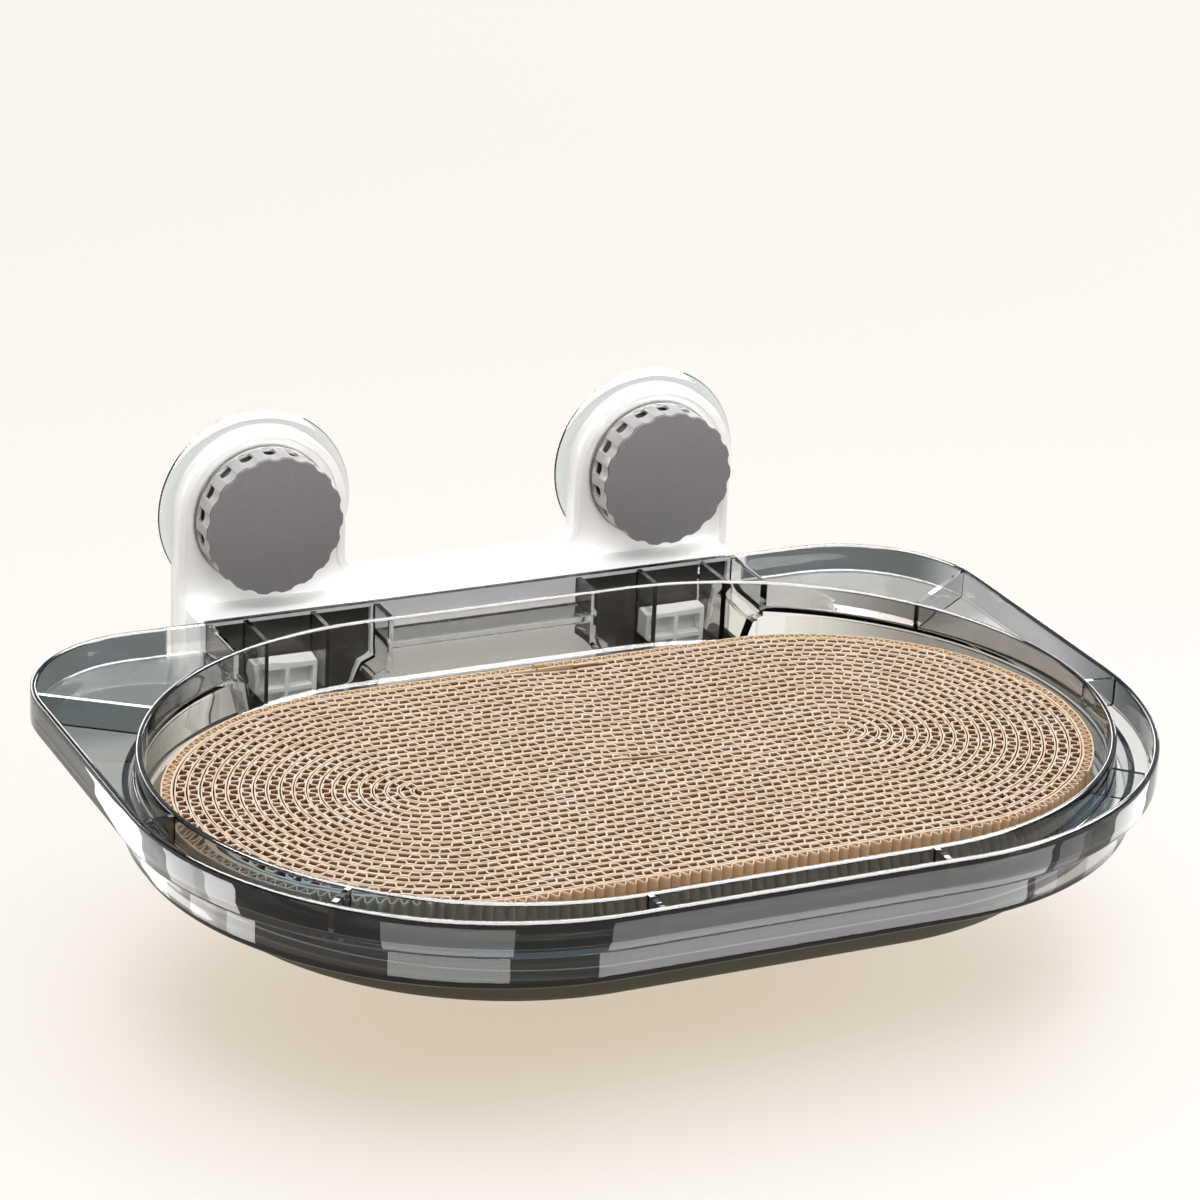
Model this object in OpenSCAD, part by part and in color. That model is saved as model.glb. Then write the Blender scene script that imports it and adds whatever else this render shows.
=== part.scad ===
/* [Cups] */
// Distance between the axes of the two suction cups
cup_spacing = 195.2; // [180:0.2:220]
// Height of the cup axes above the rim of the tray
cup_axis_z = 40.2; // [36:0.2:50]
// How far the edge of a cup reaches past the lobe of the bracket
cup_overhang = 5.5; // [3:0.5:9]
// Thickness of the flat rim of the cup, pressed between glass and bracket
cup_rim_t = 2.6; // [2:0.1:3.4]
// Thickness of the soft edge of the cup
cup_edge_t = 1.1; // [0.8:0.1:1.8]
// Width of the flat sealing land on the glass
cup_land_w = 10; // [8:0.5:14]
// Depth of the hollow that the drawn-back middle leaves over the glass
cup_hollow_d = 3.4; // [3.2:0.1:4]
// Thickness of the flexible middle of the cup
cup_skin_t = 2; // [1.4:0.1:2.2]
// Radius of the thick middle that holds the stud
cup_boss_r = 13; // [12:0.5:15]
// Thickness of the thick middle
cup_boss_t = 3.9; // [3.6:0.1:4.1]

/* [Studs] */
// Radius of the threaded shank of a stud
stud_r = 4.5; // [3.5:0.1:5]
// Radius of the flat flange moulded into the cup
stud_flange_r = 9; // [8:0.5:10.5]
// Thickness of that flange
stud_flange_t = 1.8; // [1.2:0.1:2]
// Rubber left between the flange and the hollow of the cup
stud_flange_cover = 1.2; // [0.8:0.1:1.4]
// Gap between the end of the shank and the inside of the face of the knob
stud_end_gap = 2.4; // [1.6:0.1:4]

/* [Bracket] */
// Radius of the two round lobes of the bracket
lobe_r = 40.5; // [39:0.5:42]
// Height of the top of the bar between the lobes
bar_top_z = 8; // [4:0.5:16]
// Radius of the inside corners between bar and lobes
lobe_fillet_r = 9; // [4:0.5:14]
// Gap between the thick middle of a cup and the inside of the cover
boss_gap = 0.7; // [0.4:0.1:2]
// Width of the raised border round the upper plate
border_w = 4; // [3:0.5:6]
// Height of the raised border over the recessed face
border_h = 1.5; // [0.6:0.1:2]
// Wall thickness of the cover
cover_wall = 2.5; // [2:0.1:3]
// Step of each side of the lower body inside the side of the upper plate
body_side_step = 3.8; // [1:0.1:6]
// How far the front of the lower body stands out past the faces of the knobs
knob_clear = 1.8; // [1:0.1:5]
// Drop of the top of the lower body below the rim of the tray
body_drop = 0.5; // [0.2:0.1:2]
// Lowest point of the bracket below the rim of the tray
bracket_depth = 65; // [63:0.5:74]
// Radius of the lower corners of the bracket
bracket_corner_r = 9; // [6:0.5:14]
// Wall thickness of the two boxes of the core
core_wall = 2.5; // [2:0.1:3]
// Radius of the shank of a screw between cover and core
screw_r = 1.4; // [1:0.1:1.8]
// Radius of the head of such a screw
screw_head_r = 2.8; // [2.4:0.1:3.4]
// Height of the head of such a screw
screw_head_t = 1.6; // [1.2:0.1:2]
// Length of the shank of such a screw
screw_len = 12; // [8:0.5:16]
// Radius of the post that takes such a screw
post_r = 4; // [3.4:0.1:5]

/* [Sockets] */
// Inner side of a funnel mouth from the middle of its hook
mouth_in_w = 45.6; // [42:0.2:48]
// Distance of the outer side of a funnel mouth inside the side of the lower body
mouth_side_w = 4.7; // [3.6:0.1:6]
// Drop of the inner shoulder below the rim of the tray
shoulder_in_drop = 24.5; // [21:0.5:27]
// Drop of the outer shoulder below the rim of the tray
shoulder_out_drop = 18; // [16.5:0.5:22]
// Width of the inner shoulder
shoulder_in_w = 6; // [4:0.5:8]
// Width of the outer shoulder
shoulder_out_w = 5; // [3:0.5:6]
// Inner side of the funnel throat from the middle of its hook
throat_in_w = 30.6; // [26:0.2:35]
// Outer side of the funnel throat from the middle of its hook
throat_out_w = 18.4; // [17.6:0.2:20]
// Height of the sill of the cover under its windows
window_sill = 5; // [4:0.5:8]

/* [Hooks] */
// Width of a hook block
hook_w = 29; // [25:0.5:32]
// Thickness of the upright of a hook block
hook_t = 9; // [7.5:0.5:10]
// Height of the upright of a hook block over its saddle
hook_h = 23.3; // [19:0.1:26]
// Height of the arm of a hook block under its saddle, which carries the tray
hook_arm_h = 15.2; // [13:0.1:18]
// Gap between the foot of a hook block and the sill of its window
hook_foot_gap = 2; // [1:0.5:5]
// Height of the slanted lead at the back of the upright
hook_lead_h = 3; // [1:0.5:5]
// Thickness of the webs between the cores of a hook block
web_t = 2; // [1.6:0.1:2.4]
// Depth of the cores of a hook block
web_d = 6; // [4:0.5:6.5]
// Columns of cores in a hook block
web_columns = 2; // [1:1:3]
// Rows of cores in a hook block
web_rows = 3; // [2:1:4]
// Radius of the shank of a hook screw
hook_screw_r = 1.9; // [1.5:0.1:2.2]
// Radius of the head of a hook screw
hook_screw_head_r = 3.6; // [3:0.1:4]
// Height of the head of a hook screw
hook_screw_head_t = 2.2; // [1.8:0.1:3]
// Length of the shank of a hook screw
hook_screw_len = 11; // [8:0.5:12]
// Distance between the two screws of a hook
hook_screw_gap = 14; // [12:0.5:16]

/* [Tray] */
// Overall width of the tray
tray_w = 460; // [450:1:490]
// Wall thickness of the tray
tray_wall = 2.8; // [2.2:0.1:3.2]
// Wall thickness of the rear wall, which hangs on the hooks
rear_wall = 3.5; // [3:0.1:4]
// Radius of the rear corners
rear_corner_r = 62; // [48:1:70]
// Radius of the front corners
front_corner_r = 155; // [150:1:158]
// Height of the outer wall
skirt_h = 16; // [13:0.5:17]
// Inner radius of the round ends of the bowl
bowl_r = 147; // [144:0.5:149]
// Gap between each round end of the bowl and the outer wall
side_channel_w = 12.4; // [9:0.1:16]
// Gap between the front of the bowl and the outer wall
front_channel_w = 11.1; // [8:0.1:16]
// Depth of the inside of the bowl
bowl_depth = 31; // [29:0.5:34]
// Gap between the back of the bowl and the rear wall
rear_channel_w = 16.9; // [15.5:0.1:19]
// Distance of the lower wall inside the outer wall
pan_inset = 9.5; // [7:0.5:11]
// Distance of the foot ring inside the wall of the bowl
foot_inset = 17; // [11:0.5:24]
// Height of the foot ring under the bowl
foot_h = 19.2; // [17:0.1:22]
// How far the rear wall and the sockets reach below the saddles
socket_lap = 7.2; // [4:0.1:9]
// Thickness of the ribs
rib_t = 2.2; // [1.6:0.1:2.6]
// Gap at each side between a hook block and the ribs beside it
rib_gap = 0.5; // [0.4:0.1:1]

/* [Scratcher pad] */
// Gap between the front of the pad and the wall of the bowl
pad_front_gap = 31.5; // [28:0.5:40]
// Gap between each end of the pad and the wall of the bowl
pad_end_gap = 4; // [2:0.5:12]
// Height of the pad
pad_h = 17.7; // [14:0.1:26]
// Distance of the middle of the pad in front of the middle of the bowl
pad_forward = 5.5; // [0:0.5:8]
// Straight layers folded in the middle of the pad
core_layers = 4; // [4:2:12]
// Turns of the strip wound round these layers
pad_turns = 17; // [12:1:19]
// Gap between two layers of the strip
strip_gap = 0.7; // [0.55:0.05:0.9]
// Thickness of the paper band round the pad
band_t = 0.8; // [0.6:0.1:1.2]

/* [Knobs] */
// Gap between the ring at the foot of a knob and the border of the bracket
knob_border_gap = 3.5; // [2:0.1:7]
// How far that ring stands out past the crests of the knob
knob_ring_step = 0.5; // [0.2:0.1:1]
// Height of that ring
knob_ring_t = 2.2; // [1.4:0.1:3]
// Gap between that ring and the recessed face of the bracket
knob_ring_gap = 0.7; // [0.4:0.1:1]
// Height of a knob over the recessed face of the bracket
knob_h = 17.7; // [16.6:0.1:20]
// Thickness of the cap on the knob
knob_cap_t = 1.2; // [0.8:0.1:1.6]
// Bevel round the face of the cap
knob_bevel = 0.6; // [0.3:0.1:0.8]
// Wall thickness of the knob
knob_wall = 2.6; // [2.2:0.1:3]
// Number of finger flutes
flutes = 18; // [12:1:20]
// Radius of a finger flute
flute_r = 6; // [4:0.5:8]
// Depth of a finger flute
flute_d = 1.1; // [0.6:0.1:1.4]
// Width of the slot at the foot of a flute
slot_w = 4.4; // [3:0.1:5]
// Height of that slot
slot_h = 1.8; // [1:0.1:2.4]
// Depth of that slot
slot_d = 1.4; // [0.8:0.1:1.6]
// Plain sill between the ring and the flutes, and again under that slot
slot_sill = 0.3; // [0.2:0.1:0.8]
// Radius of the hub inside the knob
hub_r = 11; // [10.5:0.5:13]
// Spokes between hub and wall
spokes = 6; // [3:1:9]
// Radius over the corners of the nut
nut_r = 8; // [7:0.5:9]
// Height of the nut
nut_h = 10; // [8:0.5:10.5]
// Radius of the thrust washer
washer_r = 12.5; // [10:0.5:14]
// Thickness of the thrust washer
washer_t = 1; // [0.6:0.1:1.4]

/* [Hidden] */
$fn = 96;
// Gap between parts that rest on each other
seat_gap = 0.3;
// Radial clearance of a shaft in its bore
run_gap = 0.06;
// Clearance of a stud in the holes of the bracket
stud_hole_gap = 0.7;
// Overrun of every cut past the face that it opens
cut = 1;
// Radius past any corner of the tray, for cuts that run out of it
reach = tray_w;

cup_x = cup_spacing / 2;
cup_r = lobe_r + cup_overhang;
half_w = cup_x + lobe_r;
back = cup_rim_t + seat_gap;
face_back = cup_hollow_d + cup_boss_t + boss_gap;
face_front = face_back + cover_wall;
plate_front = face_front + border_h;
knob_front = face_front + knob_h;
body_w = 2 * (half_w - body_side_step);
body_front = knob_front + knob_clear;
body_in = body_front - cover_wall;
core_front = face_back - seat_gap;
core_back = cup_hollow_d + cup_skin_t + run_gap;
mouth_in_x = cup_x - mouth_in_w;
mouth_out_x = body_w / 2 - mouth_side_w;
throat_in_x = cup_x - throat_in_w;
throat_out_x = cup_x + throat_out_w;
window_depth = bracket_depth - window_sill;
hook_foot_drop = window_depth - hook_foot_gap;
saddle_drop = hook_foot_drop - hook_arm_h;
hook_top_drop = saddle_drop - hook_h;
box_front = body_in - seat_gap;
box_in_x = mouth_in_x - core_wall;
box_out_x = body_w / 2 - cover_wall - seat_gap;
box_top = body_drop + cover_wall + seat_gap;
box_bottom = bracket_depth - cover_wall - seat_gap;
screw_x = mouth_in_x - core_wall - seat_gap - 2 * post_r;
screw_places = [for (x = [-screw_x, screw_x], z = [body_drop + cover_wall + 2 * post_r,
    window_depth - 2 * post_r]) [x, -z]];

rear_out = body_front + 2 * seat_gap;
rear_in = rear_out + rear_wall;
bowl_out_r = bowl_r + tray_wall;
bowl_x = tray_w / 2 - tray_wall - side_channel_w - bowl_out_r;
bowl_y = rear_in + rear_channel_w + bowl_out_r;
tray_front = bowl_y + bowl_out_r + front_channel_w + tray_wall;
pan_x = tray_w / 2 - pan_inset - bowl_out_r;
foot_r = bowl_r - foot_inset;
foot_drop = bowl_depth + tray_wall + foot_h;
socket_drop = saddle_drop + socket_lap;
floor_drop = skirt_h - tray_wall;
socket_half_w = mouth_out_x + tray_wall;
rib_angles = [35.7, -7.3, -44.3, -90.4];

hook_back = rear_in + seat_gap;
hook_front = hook_back + hook_t;
rib_x = hook_w / 2 + rib_gap;

pad_r = bowl_r - pad_forward - pad_front_gap;
pad_y = bowl_y + pad_forward;
pad_x = bowl_x + bowl_r - pad_end_gap - pad_r;
pad_low = bowl_depth - seat_gap;
strip_out_r = pad_r - band_t - seat_gap;
turn_steps = 12;
fold_steps = 6;
strip_pitch = (strip_out_r + strip_gap / 2) / (core_layers / 2 + pad_turns);
strip_t = strip_pitch - strip_gap;

knob_foot = face_front + washer_t + run_gap;
knob_ring_r = lobe_r - border_w - knob_border_gap;
knob_r = knob_ring_r - knob_ring_step;
cap_back = knob_front - knob_cap_t;
hub_front = cap_back - knob_wall;
ring_low = face_front + knob_ring_gap;
ring_high = ring_low + knob_ring_t;
hub_back = knob_foot;
nut_low = hub_back + cut;
flute_place = knob_r - flute_d + flute_r;
stud_flange_y = cup_hollow_d + stud_flange_cover;
stud_tip = hub_front - stud_end_gap;

// Stands a flat drawing in x and z up, from one distance off the glass to another
module off_glass(from, to) {
    rotate([90, 0, 0]) translate([0, 0, from]) linear_extrude(to - from) children();
}

// Places a turned piece on the axis of one cup, its own axis pointing into the room
module on_cup(side) {
    translate([side * cup_x, 0, cup_axis_z]) rotate([90, 0, 0]) children();
}

// Flat rounded plate between two drops below the rim
module slab(from, to) {
    translate([0, 0, -to]) linear_extrude(to - from) children();
}

// Outline of the whole bracket, drawn in by an inset
module plate_outline(inset) {
    side = half_w - inset;
    low = -bracket_depth + bracket_corner_r;
    for (s = [-1, 1]) {
        translate([s * cup_x, cup_axis_z]) circle(lobe_r - inset);
        translate([s * cup_x - lobe_r + inset, low])
            square([2 * (lobe_r - inset), cup_axis_z - low]);
        translate([s * (half_w - bracket_corner_r), low]) circle(bracket_corner_r - inset);
        difference() {
            translate([s * (cup_x - lobe_r) - (lobe_fillet_r + inset), bar_top_z - 2 * inset])
                square([2 * (lobe_fillet_r + inset), lobe_fillet_r + 2 * inset]);
            translate([s * (cup_x - lobe_r - lobe_fillet_r), bar_top_z + lobe_fillet_r])
                circle(lobe_fillet_r + inset);
        }
    }
    translate([-side, low]) square([2 * side, bar_top_z - inset - low]);
    translate([-half_w + bracket_corner_r, -bracket_depth + inset])
        square([2 * (half_w - bracket_corner_r), bracket_corner_r]);
}

// Outline of the lower body of the bracket, drawn in by an inset
module body_outline(inset) {
    side = body_w / 2 - inset;
    low = -bracket_depth + bracket_corner_r;
    translate([-side, low]) square([2 * side, -body_drop - inset - low]);
    for (s = [-1, 1])
        translate([s * (body_w / 2 - bracket_corner_r), low]) circle(bracket_corner_r - inset);
    translate([-body_w / 2 + bracket_corner_r, -bracket_depth + inset])
        square([body_w - 2 * bracket_corner_r, bracket_corner_r]);
}

// Funnel that guides the tray onto a hook, from a wide mouth to a narrow throat
module funnel(side, grow, top, bottom) {
    mirror([side < 0 ? 1 : 0, 0]) polygon([
        [mouth_in_x - grow, -top],
        [mouth_in_x - grow, -shoulder_in_drop - grow],
        [mouth_in_x + shoulder_in_w - grow, -shoulder_in_drop - shoulder_in_w / 2 - grow],
        [throat_in_x - grow, -bottom],
        [throat_out_x + grow, -bottom],
        [mouth_out_x - shoulder_out_w + grow, -shoulder_out_drop - grow],
        [mouth_out_x + grow, -shoulder_out_drop + shoulder_out_w / 2 - grow],
        [mouth_out_x + grow, -top]]);
}

module bracket_cover() {
    color("white") {
        difference() {
            union() {
                off_glass(back, plate_front) plate_outline(0);
                off_glass(back, body_front) body_outline(0);
            }
            off_glass(back - cut, face_back) plate_outline(cover_wall);
            off_glass(back - cut, body_in) body_outline(cover_wall);
            off_glass(face_front, plate_front + cut) intersection() {
                plate_outline(border_w);
                translate([-half_w, -body_drop]) square([2 * half_w, reach]);
            }
            off_glass(body_in - cut, body_front + cut) {
                funnel(1, 0, body_drop + cover_wall, window_depth);
                funnel(-1, 0, body_drop + cover_wall, window_depth);
            }
            for (s = [-1, 1])
                on_cup(s) cylinder(r = stud_r + stud_hole_gap, h = plate_front + cut);
        }
        for (p = screw_places)
            difference() {
                off_glass(core_front, body_in) translate(p) circle(post_r);
                off_glass(core_front - cut, core_back + screw_len + cut)
                    translate(p) circle(screw_r + run_gap);
            }
    }
}

module bracket_core() {
    color("dimgray") difference() {
        union() {
            off_glass(core_back, core_front) plate_outline(cover_wall + seat_gap);
            for (s = [-1, 1])
                off_glass(core_back, box_front) intersection() {
                    body_outline(cover_wall + seat_gap);
                    mirror([s < 0 ? 1 : 0, 0]) translate([box_in_x, -box_bottom])
                        square([box_out_x - box_in_x, box_bottom - box_top]);
                }
        }
        for (s = [-1, 1]) {
            off_glass(core_back - cut, box_front - core_wall) mirror([s < 0 ? 1 : 0, 0])
                translate([box_in_x + core_wall, -box_bottom + core_wall])
                square([box_out_x - box_in_x - 2 * core_wall, box_bottom - box_top - 2 * core_wall]);
            on_cup(s) cylinder(r = cup_boss_r + seat_gap, h = core_front + cut);
            for (x = [-hook_screw_gap / 2, hook_screw_gap / 2])
                off_glass(box_front - core_wall - cut, box_front + cut)
                    translate([s * cup_x + x, -(saddle_drop + hook_foot_drop) / 2])
                    circle(hook_screw_r + run_gap);
        }
        for (p = screw_places)
            off_glass(core_back - cut, core_front + cut) translate(p) circle(screw_r + run_gap);
    }
}

// Screw with a round head, its head towards the glass
module screw(head_r, head_t, shank_r, shank_len) {
    rotate([90, 0, 0]) {
        translate([0, 0, -head_t]) cylinder(r = head_r, h = head_t);
        cylinder(r = shank_r, h = shank_len);
    }
}

module bracket_screws() {
    color("silver") for (p = screw_places)
        translate([p[0], -core_back, p[1]]) screw(screw_head_r, screw_head_t, screw_r, screw_len);
}

module hook_screws() {
    color("silver") for (s = [-1, 1], x = [-hook_screw_gap / 2, hook_screw_gap / 2])
        translate([s * cup_x + x, -box_front + core_wall, -(saddle_drop + hook_foot_drop) / 2])
            screw(hook_screw_head_r, hook_screw_head_t, hook_screw_r, hook_screw_len);
}

// White block that stands up in front of the rear wall of the tray
module hook(side) {
    cell_w = (hook_w - web_t) / web_columns;
    cell_h = (hook_foot_drop - hook_top_drop - web_t) / web_rows;
    color("whitesmoke") translate([side * cup_x, 0, 0]) difference() {
        translate([-hook_w / 2, 0, 0]) rotate([90, 0, 90]) linear_extrude(hook_w) polygon([
            [-box_front, -hook_foot_drop],
            [-hook_front, -hook_foot_drop],
            [-hook_front, -hook_top_drop],
            [-hook_back - hook_lead_h / 2, -hook_top_drop],
            [-hook_back, -hook_top_drop - hook_lead_h],
            [-hook_back, -saddle_drop],
            [-box_front, -saddle_drop]]);
        for (i = [0 : web_columns - 1], j = [0 : web_rows - 1])
            off_glass(hook_front - web_d, hook_front + cut)
                translate([-hook_w / 2 + web_t + i * cell_w, -hook_foot_drop + web_t + j * cell_h])
                square([cell_w - web_t, cell_h - web_t]);
        for (x = [-hook_screw_gap / 2, hook_screw_gap / 2])
            off_glass(box_front - cut, box_front - core_wall + hook_screw_len + run_gap)
                translate([x, -(saddle_drop + hook_foot_drop) / 2]) circle(hook_screw_r + run_gap);
    }
}

module cup(side) {
    land_r = cup_r - cup_land_w;
    press_r = lobe_r + cover_wall / 2;
    boss_front = cup_hollow_d + cup_boss_t;
    pocket = stud_flange_y - run_gap;
    color("lightcyan", 0.5) on_cup(side) difference() {
        rotate_extrude() polygon([
            [0, cup_hollow_d],
            [cup_boss_r, cup_hollow_d],
            [land_r, 0],
            [cup_r, 0],
            [cup_r, cup_edge_t],
            [press_r, cup_rim_t],
            [land_r, cup_rim_t],
            [cup_boss_r, cup_hollow_d + cup_skin_t],
            [cup_boss_r, boss_front],
            [0, boss_front]]);
        translate([0, 0, pocket])
            cylinder(r = stud_flange_r + run_gap, h = stud_flange_t + 2 * run_gap);
        translate([0, 0, pocket]) cylinder(r = stud_r + run_gap, h = boss_front);
    }
}

module stud(side) {
    color("silver") on_cup(side) {
        translate([0, 0, stud_flange_y]) cylinder(r = stud_flange_r, h = stud_flange_t);
        translate([0, 0, stud_flange_y]) cylinder(r = stud_r, h = stud_tip - stud_flange_y);
    }
}

module washer(side) {
    color("ivory") on_cup(side) translate([0, 0, face_front]) difference() {
        cylinder(r = washer_r, h = washer_t);
        translate([0, 0, -cut]) cylinder(r = stud_r + stud_hole_gap, h = washer_t + 2 * cut);
    }
}

// Ring of finger flutes, cut from one height to another
module flute_cuts(from, to) {
    for (i = [0 : flutes - 1])
        rotate((i + 1 / 2) * 360 / flutes) translate([flute_place, 0, from])
            cylinder(r = flute_r, h = to - from, $fn = 48);
}

module knob(side) {
    inner_r = knob_r - flute_d - knob_wall;
    color("gray") on_cup(side) difference() {
        union() {
            difference() {
                rotate_extrude() polygon([
                    [inner_r, ring_low],
                    [knob_ring_r, ring_low],
                    [knob_ring_r, ring_high],
                    [knob_r, ring_high],
                    [knob_r, cap_back],
                    [0, cap_back],
                    [0, hub_front],
                    [inner_r, hub_front]]);
                flute_cuts(ring_high + slot_sill, cap_back + cut);
                for (i = [0 : flutes - 1])
                    rotate((i + 1 / 2) * 360 / flutes)
                        translate([inner_r + knob_wall - slot_d, -slot_w / 2, ring_high + 2 * slot_sill])
                        cube([slot_d + knob_wall, slot_w, slot_h]);
            }
            translate([0, 0, hub_back]) cylinder(r = hub_r, h = hub_front + knob_wall / 2 - hub_back);
            for (i = [0 : spokes - 1])
                rotate((i + 1 / 3) * 360 / spokes)
                    translate([hub_r - knob_wall, -knob_wall / 2, ring_high + 2 * slot_h])
                    cube([inner_r - hub_r + 1.5 * knob_wall, knob_wall,
                        hub_front + knob_wall / 2 - ring_high - 2 * slot_h]);
        }
        translate([0, 0, nut_low - run_gap])
            cylinder(r = nut_r + run_gap, h = nut_h + 2 * run_gap, $fn = 6);
        translate([0, 0, hub_back - cut])
            cylinder(r = stud_r + stud_hole_gap, h = stud_tip + stud_end_gap / 2 - hub_back + cut);
    }
}

module knob_cap(side) {
    color("dimgray") on_cup(side) difference() {
        rotate_extrude() polygon([
            [0, cap_back],
            [knob_r, cap_back],
            [knob_r, knob_front - knob_bevel],
            [knob_r - knob_bevel, knob_front],
            [0, knob_front]]);
        flute_cuts(cap_back - cut, knob_front + cut);
    }
}

module knob_nut(side) {
    color("goldenrod") on_cup(side) translate([0, 0, nut_low]) difference() {
        cylinder(r = nut_r, h = nut_h, $fn = 6);
        translate([0, 0, -cut]) cylinder(r = stud_r + run_gap, h = nut_h + 2 * cut);
    }
}

// Plan outline of the tray, drawn in by an inset
module tray_outline(inset) {
    side = tray_w / 2;
    rear_y = rear_out + rear_corner_r;
    front_y = tray_front - front_corner_r;
    intersection() {
        translate([-side + inset, -tray_front + inset])
            square([2 * (side - inset), tray_front - rear_out - 2 * inset]);
        union() {
            translate([-side, -front_y]) square([2 * side, front_y - rear_y]);
            translate([-side + rear_corner_r, -front_y])
                square([2 * (side - rear_corner_r), front_y]);
            translate([-side + front_corner_r, -tray_front])
                square([2 * (side - front_corner_r), tray_front - rear_y]);
            for (s = [-1, 1]) {
                translate([s * (side - rear_corner_r), -rear_y]) circle(rear_corner_r - inset);
                translate([s * (side - front_corner_r), -front_y]) circle(front_corner_r - inset);
            }
        }
    }
}

// Round-ended outline about a point on the middle line
module stadium(half_straight, r, y) {
    translate([-half_straight, -y - r]) square([2 * half_straight, 2 * r]);
    for (s = [-1, 1]) translate([s * half_straight, -y]) circle(r);
}

// Plan of the lower wall, drawn in by an inset: it follows the outer wall in front, the bowl behind
module pan_outline(inset) {
    intersection() {
        tray_outline(pan_inset + inset);
        translate([-reach, -bowl_y - reach]) square([2 * reach, reach]);
    }
    stadium(pan_x, bowl_out_r - inset, bowl_y);
}

// Lower wall that hangs from the channel floor, outside the bowl
module lower_wall() {
    slab(floor_drop, bowl_depth + tray_wall) difference() {
        pan_outline(0);
        pan_outline(tray_wall);
        translate([-mouth_out_x, -bowl_y]) square([2 * mouth_out_x, bowl_y]);
    }
}

// Ribs that tie the rim of the bowl to the outer wall
module channel_ribs() {
    slab(0, floor_drop + cut) intersection() {
        difference() {
            tray_outline(tray_wall / 2);
            stadium(bowl_x, bowl_out_r - tray_wall / 2, bowl_y);
        }
        for (s = [-1, 1], a = rib_angles)
            mirror([s < 0 ? 1 : 0, 0]) translate([bowl_x, -bowl_y]) rotate(a)
                translate([0, -rib_t / 2]) square([reach, rib_t]);
    }
}

// Ribs that stand at both sides of a hook block
module socket_ribs(side) {
    slab(0, socket_drop - rear_wall) difference() {
        for (x = [-rib_x - rib_t, rib_x])
            translate([side * cup_x + x, -bowl_y]) square([rib_t, bowl_y - rear_in + rear_wall / 2]);
        stadium(bowl_x, bowl_out_r - tray_wall / 2, bowl_y);
    }
}

module tray() {
    color("lightslategray", 0.5) difference() {
        union() {
            difference() {
                union() {
                    slab(0, skirt_h) difference() {
                        tray_outline(0);
                        tray_outline(tray_wall);
                    }
                    slab(floor_drop, skirt_h) tray_outline(0);
                    slab(0, socket_drop) translate([-socket_half_w, -rear_in])
                        square([2 * socket_half_w, rear_wall]);
                    off_glass(rear_in, bowl_y) for (s = [-1, 1]) difference() {
                        funnel(s, tray_wall, body_drop, socket_drop);
                        funnel(s, 0, 0, socket_drop + cut);
                    }
                }
                off_glass(rear_in, bowl_y) for (s = [-1, 1]) funnel(s, 0, -cut, socket_drop + cut);
                slab(-cut, socket_drop + cut) stadium(bowl_x, bowl_r + tray_wall / 2, bowl_y);
            }
            slab(0, bowl_depth + tray_wall) difference() {
                stadium(bowl_x, bowl_out_r, bowl_y);
                stadium(bowl_x, bowl_r, bowl_y);
            }
            slab(bowl_depth, bowl_depth + tray_wall) stadium(bowl_x, bowl_out_r, bowl_y);
            slab(bowl_depth + tray_wall / 2, foot_drop) difference() {
                stadium(bowl_x, foot_r, bowl_y);
                stadium(bowl_x, foot_r - tray_wall, bowl_y);
            }
            lower_wall();
            channel_ribs();
            for (s = [-1, 1]) socket_ribs(s);
        }
        for (s = [-1, 1])
            off_glass(body_front, rear_in + cut)
                translate([s * cup_x - rib_x, -socket_drop - cut])
                square([2 * rib_x, socket_drop + cut - saddle_drop + seat_gap]);
    }
}

// Fold between two middle layers of the strip: its centre and its end side
function fold_side(j) = j % 2 == 0 ? 1 : -1;
function fold_room(j) = core_layers / 2 - (j % 2 == 0 ? 1 : 3 / 2);
function fold_x(j) = fold_side(j)
    * (pad_x + strip_pitch * sqrt(max(0, pow(fold_room(j), 2) - pow(j - fold_room(j), 2))));
function layer_y(j) = strip_pitch * (j - (core_layers - 1) / 2) - pad_y;

// Point of the strip's middle line, with the angle of its left-hand side
function round_point(x, y, r, angle, side) = [x + r * cos(angle), y + r * sin(angle), side];

// Folded middle first, then the turns that are wound round it
strip_line = concat(
    [[-pad_x, layer_y(0), 90]],
    [for (j = [0 : core_layers - 2], i = [0 : fold_steps])
        let (angle = -90 + fold_side(j) * i * 180 / fold_steps)
        round_point(fold_x(j), (layer_y(j) + layer_y(j + 1)) / 2, strip_pitch / 2, angle,
            fold_side(j) > 0 ? angle + 180 : angle)],
    [for (k = [0 : 2 * pad_turns - 1], i = [0 : turn_steps])
        let (side = k % 2 == 0 ? -1 : 1, angle = -side * 90 + i * 180 / turn_steps)
        round_point(side * pad_x, (side - 1) / 4 * strip_pitch - pad_y,
            strip_pitch * (core_layers + k) / 2, angle, angle + 180)]);

// Point on one side of the strip at a station
function strip_edge(i, side) = [
    strip_line[i][0] + side * strip_t / 2 * cos(strip_line[i][2]),
    strip_line[i][1] + side * strip_t / 2 * sin(strip_line[i][2])];
function clear_of(p, a, b) =
    norm(p - a - min(1, max(0, (p - a) * (b - a) / ((b - a) * (b - a)))) * (b - a));

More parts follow.
